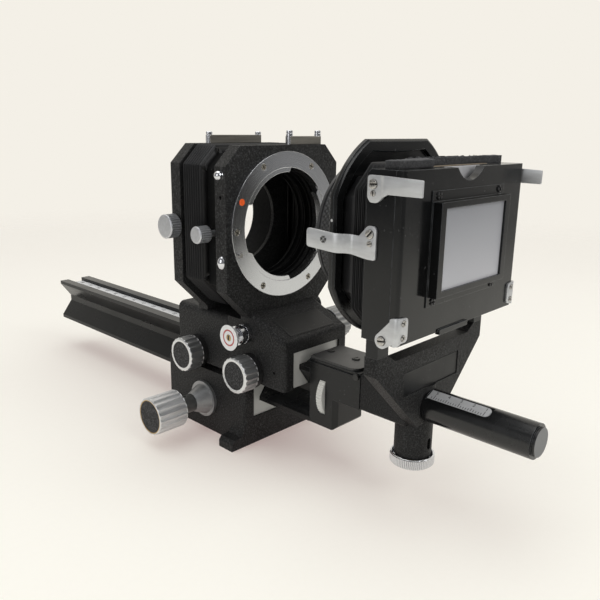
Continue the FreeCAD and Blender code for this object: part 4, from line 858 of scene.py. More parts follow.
def folded_strip(outline, path, out):
    """Sheet metal: a flat outline in (along, height), folded along a path seen from above, in millimetres.
    It grows by its thickness towards out."""
    marks = [0.0]
    for step in steps_of(path):
        marks.append(marks[-1] + step)
    bm = bmesh.new()
    bm.faces.new([bm.verts.new((a, 0, h)) for a, h in outline])
    for cut in marks[1:-1]:
        geom = bm.verts[:] + bm.edges[:] + bm.faces[:]
        bmesh.ops.bisect_plane(bm, geom=geom, dist=1e-5, plane_co=(cut, 0, 0), plane_no=(1, 0, 0))
    for vert in bm.verts:
        k = 0
        while k < len(marks) - 2 and vert.co.x > marks[k + 1] + 1e-6:
            k += 1
        t = (vert.co.x - marks[k]) / (marks[k + 1] - marks[k])
        spot = Vector(path[k]).lerp(Vector(path[k + 1]), t)
        vert.co = Vector((spot.x, spot.y, vert.co.z)) * MM
    bm.normal_update()
    way = sum((f.normal * f.calc_area() for f in bm.faces), Vector())
    if way.dot(Vector(out)) < 0:
        bmesh.ops.reverse_faces(bm, faces=bm.faces)
    sheet = closed(bm, bpy.data.meshes.new("sheet"))
    thicker = ("SOLIDIFY", {"thickness": SHEET * MM, "offset": 1.0, "use_even_offset": True})
    return painted(smooth(baked(sheet, thicker, bevel(0.12, 2, 50)), 30), "strap_silver")


# ---------------------------------------------------------------- screws

def screw_head(slots):
    """Head of unit radius about Z: a floor disc with the pieces between its slots standing on it. The floor disc is a
    little wider than the head and carries painted shade: dark in the slots and in a thin ring round the head.
    """
    top, foot, half_slot = 0.35, 0.6, 0.16

    def spot(angle, radius=1.0):
        return radius * math.cos(angle) / MM, radius * math.sin(angle) / MM

    shells = [slab([spot(TURN * k / 24, 1.12) for k in range(24)], -foot / MM, 0.0, "z")]
    lean, span = math.asin(half_slot), TURN / (2 * slots)
    for k in range(2 * slots):
        spots = [spot(span * k + lean + (span - 2 * lean) * j / 8) for j in range(9)]
        if slots > 1:
            spots.append(spot(span * (k + 0.5), half_slot * math.sqrt(2)))
        shells.append(slab(spots, -0.05 / MM, top / MM, "z"))
    shells = [bevelled(shell, 0.08 / MM) for shell in shells]
    # The floor disc gets the painted shade mark; the pieces between the slots get none.
    for k, shell in enumerate(shells):
        groove = shell.attributes.new("groove", "FLOAT", "POINT")
        groove.data.foreach_set("value", [0.0 if k else 1.0] * len(shell.vertices))
    return joined(*shells)


HEADS = {}


def head_towards(slots, axis):
    """A template head whose top faces along an axis, kept out of the scene's collections."""
    if (slots, axis) not in HEADS:
        mesh = smooth(screw_head(slots), 40)
        mesh.transform(Vector((0, 0, 1)).rotation_difference(Vector(axis)).to_matrix().to_4x4())
        HEADS[slots, axis] = bpy.data.objects.new("head_template", mesh)
    return HEADS[slots, axis]


def screw_set(spots, slots, axis, finish, seed):
    """Screw heads on (place, radius) spots in millimetres, all facing one way."""
    points = new_mesh([Vector(place) * MM for place, _ in spots])
    size = points.attributes.new("size", "FLOAT", "POINT")
    size.data.foreach_set("value", [radius * MM for _, radius in spots])
    return grown(fixing_tree, points, finish, Head=head_towards(slots, axis), Axis=axis, Turn=math.pi, Seed=seed)


# ---------------------------------------------------------------- operators

LACQUERS = {                                    # roughness, lift, edge wear and painted edge highlight, gloss
    "satin_black": (0.32, 1.0, 0.5, 0.34),
    "stage_black": (0.20, 0.7, 0.9, 0.36),
    "deep_black": (0.62, 0.35, 0.10, 0.15),
    # plate_black's edge value above 1 paints a full highlight line along the head plate's rim.
    "plate_black": (0.20, 0.7, 1.8, 0.40),
    "bare_panel": (0.42, 0.8, 0.3, 0.28),
    "rod_black": (0.22, 0.9, 0.8, 0.5),
}
METALS = {                                      # colour, roughness, scratches, metallic share, grain
    "plate_grey": ((0.055, 0.055, 0.055), 0.36, 0.5, 0.45),
    "strap_silver": ((0.60, 0.61, 0.62), 0.40, 0.30, 0.75, (1.0, 0.2, 1.0)),
    "knob_grey": ((0.42, 0.425, 0.43), 0.38, 0.35, 0.85, (0.2, 1.0, 1.0)),
    "knob_silver": ((0.72, 0.725, 0.73), 0.42, 0.35, 0.75, (0.2, 1.0, 1.0)),
    "face_silver": ((0.74, 0.75, 0.76), 0.30, 0.2, 0.9),
    "grip_silver": ((0.58, 0.59, 0.61), 0.38, 0.3, 0.8),
    "chrome": ((0.70, 0.71, 0.74), 0.08, 0.1),
    "steel": ((0.50, 0.49, 0.47), 0.30, 0.4),
    "collar_grey": ((0.17, 0.17, 0.165), 0.45, 0.4, 0.7),
    "flange_grey": ((0.36, 0.365, 0.37), 0.42, 0.3, 0.8),
    "bronze": ((0.25, 0.235, 0.205), 0.36, 0.5, 0.7, (0.1, 1.0, 1.0)),
    "brass_dark": ((0.30, 0.24, 0.17), 0.36, 0.5, 0.8),
    "brass": ((0.55, 0.40, 0.20), 0.28, 0.4),
    "knurl_black": ((0.055, 0.055, 0.056), 0.34, 0.4, 0.3),
    "dark_steel": ((0.05, 0.05, 0.05), 0.40, 0.4, 0.7),
    "scale_silver": ((0.60, 0.605, 0.61), 0.42, 0.25, 0.35, (1.0, 0.3, 1.0)),
    "pale_plate": ((0.62, 0.62, 0.63), 0.35, 0.2, 0.3),
    "cap_grey": ((0.17, 0.173, 0.175), 0.42, 0.3, 0.2),
    "scale_grey": ((0.78, 0.785, 0.79), 0.45, 0.12, 0.15, (1.0, 0.05, 1.0)),
}
SCREW_METALS = {                                # colour, roughness, metallic share
    "screw_steel": ((0.50, 0.47, 0.41),),
    "screw_silver": ((0.50, 0.485, 0.46),),
    "screw_dark": ((0.16, 0.16, 0.16),),
    "screw_black": ((0.035, 0.035, 0.037), 0.30, 0.5),
}
WEARING = {                                     # the nodes that keep their own shape, by finish
    "crinkle_paint": ("base_block", "front_carriage", "rear_carriage", "front_standard", "rear_standard"),
    "fine_crinkle_paint": ("copier_casting",),
    "satin_black": ("clamp_block", "posts", "stop_down_knob"),
    "stage_black": ("stage_frame", "stage_door", "window_bezel"),
    "deep_black": ("bellows_front_frame",),
    "plate_grey": ("clamp_top_plate",),
    "nylon": ("base_liner", "front_liner", "rear_liner"),
    "anodised_rail": ("rail_bar",),
    "scale_grey": ("rail_scale",),
    "scale_silver": ("rod_scale",),
    "ring_silver": ("lens_mount_ring",),
    "steel": ("tripod_bush", "lens_lock_pin"),
    "mount_steel": ("camera_mount_ring",),
    "flange_grey": ("focus_flange",),
    "collar_grey": ("focus_shaft",),
    "dark_inset": ("focus_knob_insert", "front_knob_insert", "rear_knob_insert"),
    "dark_steel": ("front_drive_shaft", "rear_drive_shaft", "clamp_screws"),
    "chrome": ("cable_release_socket",),
    "target_disc": ("cable_release_disc",),
    "opal_sheet": ("opal_diffuser",),
}


class UNIT_OT_finishes(bpy.types.Operator):
    """Makes the finishes and gives each part that the frame brings its own"""

    bl_idname = "bellows_unit.finishes"
    bl_label = "Finishes"

    def execute(self, context):
        made = [crinkle_paint(), crinkle_paint("fine_crinkle_paint", 0.75, 0.85), ring_metal(),
                blacked_inside("mount_steel", (0.50, 0.50, 0.49), LENS_AXIS_Z, 22.6), nylon(), anodised_rail(),
                dark_inset(), bellows_cloth(), felt_cloth(), opal_sheet(), target_disc(),
                enamel("red_enamel", (1.0, 0.14, 0.02)), enamel("white_fill", (0.62, 0.62, 0.60), 0.45),
                enamel("black_fill", (0.012, 0.012, 0.012), 0.45)]
        for maker, table in ((satin_black, LACQUERS), (metal, METALS), (screw_metal, SCREW_METALS)):
            made += [maker(name, *values) for name, values in table.items()]
        PALETTE.update((material.name, material) for material in made)
        for finish, nodes in WEARING.items():
            for node in nodes:
                painted(NODES[node].data, finish)
        return {"FINISHED"}


def outline_mesh(points):
    """A closed loop of (x, z) points in millimetres at even spacing, with an inward vector on each."""
    dense = fine(points, 2.0, round)
    middle = Vector((sum(x for x, _ in dense) / len(dense), sum(z for _, z in dense) / len(dense)))
    mesh = new_mesh([Vector((x, 0, z)) * MM for x, z in dense])
    inward = mesh.attributes.new("inward", "FLOAT_VECTOR", "POINT")
    for k, spot in enumerate(dense):
        way = (Vector(dense[(k + 1) % len(dense)]) - Vector(dense[k - 1])).normalized()
        side = Vector((-way.y, way.x))
        if side.dot(middle - Vector(spot)) < 0:
            side = -side
        inward.data[k].vector = (side.x, 0, side.y)
    return mesh


def sleeve(points, folds, depth, start, end, fineness):
    """Open pleated wall over an outline, without thickness."""
    mesh = outline_mesh(points)
    return tidy(grown(pleat_tree, mesh, "bellows_cloth", Points=len(mesh.vertices), Rows=folds * 12 + 1,
                      Folds=folds, Depth=depth, Fineness=fineness, Start=start * MM, End=end * MM))


def walled(wall, place, reach):
    """Turns the open end of a pleated wall inwards, to the frame that it is glued to."""
    bm = opened(wall)
    rim = [e for e in bm.edges if e.is_boundary and abs(e.verts[0].co.y - place * MM) < 0.02 * MM]
    middle = sum((v.co for e in rim for v in e.verts), Vector()) / (2 * len(rim))
    widest = max(abs(v.co.x) for e in rim for v in e.verts)
    share = 1 - reach * MM / widest
    for vert in bmesh.ops.extrude_edge_only(bm, edges=rim)["geom"]:
        if isinstance(vert, bmesh.types.BMVert):
            vert.co.x *= share
            vert.co.z = middle.z + (vert.co.z - middle.z) * share
    bmesh.ops.recalc_face_normals(bm, faces=bm.faces)
    return closed(bm, wall)


def hung(name, wall, node):
    """Gives the wall its thickness and puts it in the node's place."""
    made = baked(wall, ("SOLIDIFY", {"thickness": settings().bellows.cloth, "offset": -1.0,
                                     "use_even_offset": False}))
    obj = piece(name, painted(all_smooth(made), "bellows_cloth"), None, node)
    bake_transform(obj)


def octagon(half, bottom, top, cut, foot, round_by):
    right = [(half - foot, bottom), (half, bottom + foot), (half, top - cut), (half - cut, top)]
    return rounded(right + [(-x, z) for x, z in reversed(right)], round_by, 3)


class UNIT_OT_bellows(bpy.types.Operator):
    """Makes the pleated main bellows and the copier's bellows"""

    bl_idname = "bellows_unit.bellows"
    bl_label = "Bellows"

    def execute(self, context):
        sizes = settings().bellows
        low, high = box("bellows")
        wall = sleeve(octagon(high.x, low.z, high.z, 8.0, 13.0, 1.2), sizes.folds, sizes.fold_depth, low.y, high.y,
                      1.4)
        wall = walled(walled(wall, low.y, 4.6), high.y, 3.0)
        hung("main_bellows", wall, "bellows")

        low, high = box("copier_bellows")
        half, bottom, top = high.x - 0.6, low.z + 2.5, high.z - 4.2
        seam, step = low.y + 7.4, 4.6
        pleats = sleeve(octagon(half, bottom, top, 8.0, 8.0, 1.5), sizes.copier_folds, sizes.copier_fold_depth,
                        low.y, seam, 1.0)
        neck = sleeve(octagon(half - step, bottom + step, top - step, 7.0, 7.0, 1.5), 1, 0.5 * MM, seam - 0.4,
                      high.y, 1.0)
        hung("copier_pleats", joined(walled(pleats, seam, 4.2), neck), "copier_bellows")
        return {"FINISHED"}


def turned_centre(node):
    """Y and Z of the axis of a node that is turned about X, its largest radius, and its ends in X."""
    low, high = box(node)
    return ((low.y + high.y) / 2, (low.z + high.z) / 2), (high.z - low.z) / 2, low.x, high.x


def fluted(profile, step, count, points, radius, depth, start, end, finish, sharp=2.0, grooves=0.0, lead=0.0,
           shadow=0.6):
    """Turned shape with a number of flutes or knurls between two ends; each gets so many points round the rim. Shadow
    sets how much painted shade the flutes get.
    """
    mesh = turned(fine(profile, step), count * points)
    return grown(fluting_tree, mesh, finish, Count=count, Radius=radius * MM, Depth=depth * MM, Sharpness=sharp,
                 Lead=lead, Grooves=grooves, Start=start * MM, End=end * MM, Shadow=shadow)


class UNIT_OT_knobs(bpy.types.Operator):
    """Makes the fluted drive knobs, the lock knobs and the bright rings round the drive knobs' faces"""

    bl_idname = "bellows_unit.knobs"
    bl_label = "Knobs"

    def execute(self, context):
        self.drive_knobs()
        self.ribbed_knobs()
        self.right_knobs()
        return {"FINISHED"}

    def drive_knobs(self):
        count, depth = settings().knobs.flutes, settings().knobs.flute_depth / MM
        for node, body, finish in (("focus_knob", "focus_drive", "knob_silver"),
                                   ("front_knob", "lens_drive", "knob_grey"),
                                   ("rear_knob", "camera_drive", "knob_grey")):
            centre, radius, face, back = turned_centre(node)
            inset = turned_centre(node + "_insert")[1] + 0.02
            length = back - face
            profile = [(0.8, 0.01), (0.8, inset), (0.12, inset), (0.0, inset + 0.1), (0.0, radius - 0.75),
                       (0.2, radius - 0.3), (0.7, radius), (length - 0.35, radius), (length, radius - 0.35),
                       (length, radius * 0.4), (length - 0.4, 0.01)]
            grip = fluted(profile, 0.3, count, 12, radius, depth, 0.15, length - 0.2, finish, shadow=0.1)
            piece(node + "_grip", placed(smooth(grip, 38), (face, *centre)), body, node)
            profile = [(0.0, inset), (0.0, radius - 0.75), (0.2, radius - 0.28), (0.55, radius + 0.02),
                       (0.75, radius - 0.02), (0.75, inset)]
            rim = fluted(profile, 0.2, count, 12, radius + 0.03, depth, 0.12, 2.0, "face_silver", shadow=0.0)
            piece(node + "_face_ring", placed(smooth(rim, 38), (face - 0.03, *centre)), body, node, False)
            if node == "focus_knob":
                line = turned([(x, inset - way) for x, way in rectangle(0.0, 0.7, 0.42, 0.02)], 96)
                piece("focus_knob_brass_line", painted(placed(smooth(line), (face + 0.06, *centre)), "brass"), body,
                      node + "_insert", False)

    def ribbed_knobs(self):
        for node, body, count, back, stem_r in (("frame_lock_knob", "frame_lock", 22, -33.3, 1.3),
                                                ("camera_lock_knob", "camera_lock", 30, -34.0, 1.6)):
            centre, radius, face, end = turned_centre(node)
            head, length = back - face, end - face
            profile = [(0.0, 0.01), (0.0, radius - 0.55), (0.2, radius - 0.2), (0.5, radius), (head - 0.3, radius),
                       (head, radius - 0.3), (head, stem_r), (length, stem_r), (length, 0.01)]
            made = fluted(profile, 0.22, count, 8, radius, 0.40, 0.85, head - 0.1, "grip_silver", 3.0, 1.0,
                          shadow=0.95)
            piece(node + "_ribbed", placed(smooth(made), (face, *centre)), body, node)

    def right_knobs(self):
        for node, body in (("front_lock_knob", "lens_carriage_lock"), ("rear_lock_knob", "camera_carriage_lock")):
            centre, radius, start, end = turned_centre(node)
            span, base = end - start, CARRIAGE_SIDE_X - start
            profile = [(0.0, 0.01), (0.0, 2.0), (base, 2.0), (base, radius - 0.4), (base + 0.4, radius),
                       (span - 0.8, radius), (span, radius - 0.8), (span, radius * 0.76), (span - 0.6, radius * 0.74),
                       (span - 0.6, 0.01)]
            made = fluted(profile, 0.4, 20, 10, radius, 0.42, base + 0.2, span - 0.2, "knob_grey")
            piece(node + "_grip", placed(smooth(made), (start, *centre)), body, node)
            disc = turned([(0.0, 0.01), (0.0, radius * 0.73), (0.35, radius * 0.73), (0.42, radius * 0.7),
                           (0.42, 0.01)], 64)
            piece(node + "_inset", painted(placed(smooth(disc), (end - 0.6, *centre)), "dark_inset"), body, node,
                  False)


class UNIT_OT_turned_fittings(bpy.types.Operator):
    """Makes the small turned fittings on the standards: ball stud and lens release button"""

    bl_idname = "bellows_unit.turned_fittings"
    bl_label = "Turned Fittings"

    def execute(self, context):
        centre, _, tip, root = turned_centre("ball_stud")
        foot = root - tip
        start = foot - 2.5
        dome = [(start + 1.9 - 1.9 * math.cos(math.radians(a)), 1.95 * math.sin(math.radians(a)))
                for a in range(8, 91, 9)]
        profile = [(start, 0.01)] + dome + [(foot - 0.3, 1.95), (foot, 2.1), (foot, 0.01)]
        made = placed(smooth(turned(profile, 48), 50), (tip, *centre))
        piece("ball_stud_polished", painted(made, "chrome"), "lens_carriage", "ball_stud")

        centre, _, tip, root = turned_centre("lens_release_button")
        start, seat, foot = 4.1, -33.0 - tip, root - tip
        profile = [(start, 0.01), (start + 0.1, 0.9), (start + 0.5, 1.9), (start + 1.1, 2.6), (start + 1.6, 2.85),
                   (seat, 2.6), (seat, 1.5), (foot, 1.5), (foot, 0.01)]
        made = turned(profile, 56)
        made.transform(Matrix.Scale(0.72, 4, Vector((0, 1, 0))))
        made = placed(smooth(made, 40), (tip, *centre))
        piece("release_button_polished", painted(made, "chrome"), "lens_release", "lens_release_button")
        return {"FINISHED"}


class UNIT_OT_clamp_wheels(bpy.types.Operator):
    """Makes the ivory thumbwheel of the rail clamp and the chrome cup wheel of the rod clamp"""

    bl_idname = "bellows_unit.clamp_wheels"
    bl_label = "Clamp Wheels"

    def execute(self, context):
        low, high = box("clamp_wheel")
        radius = (high.x - low.x) / 2
        length, thick = high.y - low.y, 3.2
        profile = [(0.0, 0.01), (0.0, radius - 0.5), (0.3, radius), (thick - 0.3, radius), (thick, radius - 0.5),
                   (thick, 2.0), (length, 2.0), (length, 0.01)]
        made = fluted(profile, 0.3, 60, 6, radius, 0.42, 0.05, thick - 0.05, "nylon", 2.0, 1.0)
        placed(smooth(made, 30), (0, low.y, (high.z + low.z) / 2), X_TO_Y)
        piece("thumbwheel_knurled", made, "thumbwheel", "clamp_wheel")

        low, high = box("rod_clamp_wheel")
        radius = (high.x - low.x) / 2
        foot, crown, tall = CUP_Z[0] - low.z, CUP_Z[1] - low.z, high.z - low.z
        deck = foot + 1.2
        profile = [(foot, 0.01), (foot, radius - 1.9), (foot + 0.35, radius - 0.7), (foot + 0.9, radius - 0.1),
                   (deck, radius), (crown - 0.5, radius), (crown - 0.35, radius - 0.3),
                   (crown - 0.1, radius - 0.35), (crown, radius - 0.5), (crown - 0.15, radius - 0.85),
                   (deck + 0.4, radius - 1.0), (deck, radius - 1.6), (deck, 0.01)]
        wheel = fluted(profile, 0.28, settings().knobs.wheel_knurls, 6, radius, 0.30, foot + 0.9, crown - 0.5,
                       "chrome", 1.6, 1.0)
        shaft = turned(rectangle(deck - 0.1, tall, 0.01, 2.4), 48)
        made = joined(smooth(wheel, 30), painted(smooth(shaft), "brass"))
        placed(made, (0, (low.y + high.y) / 2, low.z), X_TO_Z)
        piece("cup_wheel_knurled", made, "rod_clamp", "rod_clamp_wheel")
        return {"FINISHED"}


class UNIT_OT_lens_ring(bpy.types.Operator):
    """Makes the diamond-knurled ring of the copier's lens barrel"""

    bl_idname = "bellows_unit.lens_ring"
    bl_label = "Copier Lens Ring"

    def execute(self, context):
        low, high = box("lens_ring")
        radius = (high.x - low.x) / 2
        length = high.y - low.y
        bore = 22.55
        front = [(0.0, bore), (0.0, radius - 0.6), (0.6, radius), (1.7, radius), (1.9, radius - 0.5),
                 (2.4, radius - 0.5), (2.6, radius)]
        bands = front + [(length - x, r) for x, r in reversed(front)]
        made = fluted(bands, 0.33, settings().knobs.ring_knurls, 8, radius, 0.50, 2.6, length - 2.6, "knurl_black",
                      2.2, 1.0, 510.0, 1.0)
        placed(smooth(made, 25), (0, low.y, COPY_Z), X_TO_Y)
        piece("copier_ring_knurled", made, "copier_ring", "lens_ring")
        return {"FINISHED"}


class UNIT_OT_top_bars(bpy.types.Operator):
    """Makes the bronze shoes on the standards with their chrome pins"""

    bl_idname = "bellows_unit.top_bars"
    bl_label = "Top Bars"

    def execute(self, context):
        for node, body in (("front_top_bar", "lens_carriage"), ("rear_top_bar", "camera_carriage")):
            low, high = box(node)
            tall = high.z - low.z
            shoe = brick(low.x + 1.2, high.x - 1.2, low.y + 0.3, high.y - 0.1, low.z, low.z + 3.5)
            shells = [painted(bevelled(shoe, 0.2), "bronze")]
            for x in (low.x + 1.9, high.x - 1.9):
                pin = turned([(0.0, 0.01), (0.0, 1.5), (tall - 1.5, 1.5), (tall - 1.4, 1.35), (tall - 1.2, 1.35),
                              (tall - 1.1, 1.45), (tall - 0.3, 1.45), (tall, 1.15), (tall, 0.01)], 40)
                shells.append(painted(placed(smooth(pin), (x, (low.y + high.y) / 2, low.z), X_TO_Z), "chrome"))
            piece(node + "_shoe", joined(*shells), body, node)
        return {"FINISHED"}


class UNIT_OT_strips(bpy.types.Operator):
    """Makes the folded sheet-metal parts: hinge straps, door clips and side lever"""

    bl_idname = "bellows_unit.strips"
    bl_label = "Sheet Metal"

    def execute(self, context):
        back, level = PIVOT[0] + 2.4, PIVOT[1]
        fold, leaf = back - DOOR_FACE_Y, 4.5
        lobe = arc((2.4, level), 2.6, 143, 288, 16)
        outline = lobe + rounded([(fold - 1.0, level - 1.4), (fold + 1.0, level), (fold + leaf, level),
                                  (fold + leaf, level + 7.9), (fold - 0.4, level + 8.3), (fold - 2.5, level + 7.9)],
                                 [0.6, 0.3, 1.5, 1.5, 0.3, 1.2])
        path = bent([(-DOOR_SIDE, back), (-DOOR_SIDE, DOOR_FACE_Y), (-DOOR_SIDE + leaf + 1.5, DOOR_FACE_Y)], 0.8, 5)
        strap = folded_strip(outline, path, (-1, -1, 0))
        piece("hinge_straps_folded", joined(strap, mirrored(strap)), "door", "hinge_straps")

        path = bent([(-STAGE_SIDE, -107.1), (-STAGE_SIDE, -112.4), (-STAGE_SIDE - SHEET, -113.9),
                     (-STAGE_SIDE - SHEET, -127.6)], 0.6)
        total = sum(steps_of(path))
        outline = rounded([(0.0, 127.2), (0.0, 120.4), (1.2, 118.8), (3.6, 118.8), (8.4, 121.7), (total, 121.7),
                           (total, 126.7), (7.4, 127.2)], [1.2, 1.6, 1.4, 1.6, 1.2, 0.4, 0.4, 0.4])
        clip = folded_strip(outline, path, (-1, 0, 0))
        piece("door_clips_folded", joined(clip, mirrored(clip)), "copier", "door_clips")

        path = bent([(-STAGE_SIDE, -111.2), (-STAGE_SIDE, -101.2), (-LEVER_X, -98.0), (-LEVER_X, -85.8)], 1.2)
        total = sum(steps_of(path))
        outline = rounded([(0.0, 100.9), (0.0, 111.6), (3.4, 111.6), (6.8, 107.9), (total, 109.1), (total, 102.8),
                           (12.0, 102.0), (3.4, 100.9)], [1.0, 2.2, 2.0, 1.4, 1.3, 1.3, 1.6, 1.0])
        piece("side_lever_folded", folded_strip(outline, path, (-1, 0, 0)), "copier", "latch_lever")
        return {"FINISHED"}


class UNIT_OT_screws(bpy.types.Operator):
    """Sets the screw heads of the ring, the stage and the door"""

    bl_idname = "bellows_unit.screws"
    bl_label = "Screws"

    def execute(self, context):
        front, left, right = (0, -1, 0), (-1, 0, 0), (1, 0, 0)
        spots = []
        for a in map(math.radians, RING_SCREW_ANGLES):
            place = (RING_SCREW_R * math.cos(a), RING_FACE_Y + 0.42, LENS_AXIS_Z + RING_SCREW_R * math.sin(a))
            spots.append((place, 1.3))
        piece("ring_screw_heads", screw_set(spots, 2, front, "screw_steel", 3), "lens_carriage", "ring_screws")

        side = STAGE_SIDE + SHEET
        both = [(side, -109.4, 124.5, 1.5), (side, -109.4, 121.7, 0.95), (side + 0.35, *PIVOT, 1.5)]
        only_left = [(side, -108.8, 109.0, 1.5), (side, -108.8, 106.0, 0.95)]
        left_spots = [((-x, y, z), radius) for x, y, z, radius in both + only_left]
        right_spots = [((x, y, z), radius) for x, y, z, radius in both]
        heads = joined(screw_set(left_spots, 1, left, "screw_silver", 5),
                       screw_set([((-LEVER_X - SHEET, -93.3, 106.0), 1.15)], 2, left, "screw_dark", 7),
                       screw_set(right_spots, 1, right, "screw_silver", 6))
        piece("stage_screw_heads", heads, "copier", "stage_screws")

        leaf = [((sign * (DOOR_SIDE - 2.3), DOOR_FACE_Y - SHEET, z), 1.05) for sign in (-1, 1) for z in (77.4, 82.2)]
        window = [((sign * 19.5, DOOR_FACE_Y - 0.4, COPY_Z + up), 1.3) for sign in (-1, 1) for up in (-17.2, 17.2)]
        heads = joined(screw_set(leaf, 2, front, "screw_silver", 8), screw_set(window, 2, front, "screw_black", 9))
        piece("door_screw_heads", heads, "door", "door_screws")
        return {"FINISHED"}


class UNIT_OT_felt_pads(bpy.types.Operator):
    """Makes the two felt light seals on top of the slide stage"""

    bl_idname = "bellows_unit.felt_pads"
    bl_label = "Felt Pads"

    def dense(self, bm):
        """Splits the long edges, so that the felt can be dented."""
        for _ in range(5):
            bmesh.ops.triangulate(bm, faces=[f for f in bm.faces if len(f.verts) > 4])
            long_edges = [e for e in bm.edges if e.calc_length() > 0.9 * MM]
            if not long_edges:
                return
            bmesh.ops.subdivide_edges(bm, edges=long_edges, cuts=1, use_grid_fill=True)
        bmesh.ops.triangulate(bm, faces=[f for f in bm.faces if len(f.verts) > 4])

    def execute(self, context):
        foot = STAGE_TOP_Z
        pads = (("felt_pad_left", rectangle(-36.6, -15.0, -116.4, -111.0), 4),
                ("felt_pad_right", [(-22.0, -110.4), (2.0, -111.4), (14.0, -111.2), (24.0, -112.4), (35.6, -113.4),
                                    (35.6, -108.2), (-2.0, -108.1), (-22.0, -108.1)], 9))
        for name, outline, seed in pads:
            mesh = bevelled(slab(rounded(outline, 1.5, 4), foot, foot + 2.9, "z"), 0.6, 3)
            bm = opened(mesh)
            self.dense(bm)
            offset = Vector((seed, seed * 0.7, 0))
            bm.normal_update()
            moves = []
            for vert in bm.verts:
                dent = noise.noise(vert.co * 130 + offset) * 0.28 + noise.noise(vert.co * 700 + offset) * 0.10
                if vert.co.z < (foot + 0.3) * MM:
                    dent = min(dent, 0.0) * 0.3
                moves.append(vert.normal * (dent - 0.22) * MM)
            for vert, move in zip(bm.verts, moves):
                if vert.co.z < (foot + 0.05) * MM:
                    move.z = 0
                vert.co += move
            pad = piece(name, painted(all_smooth(closed(bm, mesh)), "felt_cloth"), "copier", "felt_pads")
        return {"FINISHED"}


def number(text, height):
    """Number as a flat mesh about the origin, lying in the XY plane, height in millimetres."""
    curve = bpy.data.curves.new("number", "FONT")
    curve.body = text
    curve.size = height * MM * 1.35
    curve.align_x = "CENTER"
    curve.align_y = "CENTER"
    curve.extrude = 0.02 * MM
    return painted(plain(linked("number", curve)), "black_fill")


def ruled(left, start, end, height, marks, first, every, number_x, number_size):
    """Marks along Y at a level, by fives and tens, with a number at every so many marks."""
    count = int(end - start) + 1
    short, middle, long = (length * MM for length in marks)
    lines = grown(ruling_tree, new_mesh([(0, 0, 0)]), "black_fill", Count=count, Pitch=1.0 * MM, Short=short,
                  Middle=middle, Long=long, Width=0.2 * MM, Thickness=0.04 * MM)
    shells = [placed(lines, (left, start, height))]
    for k in range(0, count, every):
        shells.append(placed(number(str(k // every + first), number_size), (number_x, start + k, height),
                             X_TO_Y.inverted()))
    return joined(*shells)


class UNIT_OT_scales(bpy.types.Operator):
    """Rules the rail's scale strip and the rod's scale, with their numbers"""

    bl_idname = "bellows_unit.scales"
    bl_label = "Scales"

    def execute(self, context):
        low, high = box("rail_scale")
        marks = ruled(low.x + 0.2, low.y + 6, high.y - 4, high.z + 0.02, (1.3, 1.9, 2.6), 0, 10, 1.6, 2.2)
        piece("rail_scale_marks", marks, "rail", "rail_scale", False)
        low, high = box("rod_scale")
        marks = ruled(-2.0, low.y + 2.0, high.y - 0.6, 46.62, (1.0, 1.5, 2.0), 1, 5, 1.15, 1.5)
        axis = Vector((0, 0, ROD_AXIS_Z * MM))
        marks.transform(Matrix.Translation(axis) @ Matrix.Rotation(math.radians(-ROD_TURN), 4, "Y")
                        @ Matrix.Translation(-axis))
        piece("rod_scale_marks", marks, "rail", "rod_scale", False)
        return {"FINISHED"}


class UNIT_OT_small_fittings(bpy.types.Operator):
    """Makes the index dots, the brass centre of the plunger disc and the throat rings"""

    bl_idname = "bellows_unit.small_fittings"
    bl_label = "Small Fittings"

    def execute(self, context):
        dot = turned([(0.0, 0.01), (0.0, 1.35), (0.18, 1.45), (0.5, 1.45), (0.5, 0.01)], 32)
        far, angle = INDEX_DOT[0], math.radians(INDEX_DOT[1])
        spot = (far * math.cos(angle), RING_FACE_Y - 0.12, LENS_AXIS_Z + far * math.sin(angle))
        piece("index_dot", painted(placed(smooth(dot), spot, X_TO_Y), "red_enamel"), "lens_carriage",
              "lens_mount_ring", False)
        dot = turned([(0.0, 0.01), (0.0, 0.45), (0.08, 0.5), (0.3, 0.5), (0.3, 0.01)], 24)
        dot = placed(smooth(dot), (-HEAD_SIDE - 0.06, HEAD_FACE_Y + 1.4, 111.0))
        piece("head_index_dot", painted(dot, "white_fill"), "copier_head", "head_plate", False)

        centre, _, face, _ = turned_centre("cable_release_disc")
        hub = turned([(0.0, 0.5), (0.0, 1.25), (0.15, 1.5), (1.6, 1.5), (1.6, 0.5)], 40)
        hub = painted(placed(smooth(hub), (face - 0.1, *centre)), "brass")
        core = slab(rounded(rectangle(-0.5, 0.5, -0.95, 0.95), 0.1), 0, 0.6, "x")
        core = painted(placed(core, (face - 0.14, *centre)), "black_fill")
        piece("plunger_centre", joined(hub, core), "lens_carriage", "cable_release_disc", False)

        rings = []
        for y0, y1, outer, inner in ((-29.6, -28.9, 24.35, 23.3), (-26.6, -25.9, 24.35, 22.9),
                                     (-23.4, -22.8, 24.35, 22.6), (-19.4, -18.7, 23.15, 22.4)):
            ring = turned([(0.0, inner), (0.0, outer), (y1 - y0, outer), (y1 - y0, inner + 0.3)], 128)
            rings.append(painted(placed(smooth(ring), (0, y0, LENS_AXIS_Z), X_TO_Y), "deep_black"))
        piece("throat_rings", joined(*rings), "lens_carriage", "bellows_front_frame", False)
        return {"FINISHED"}


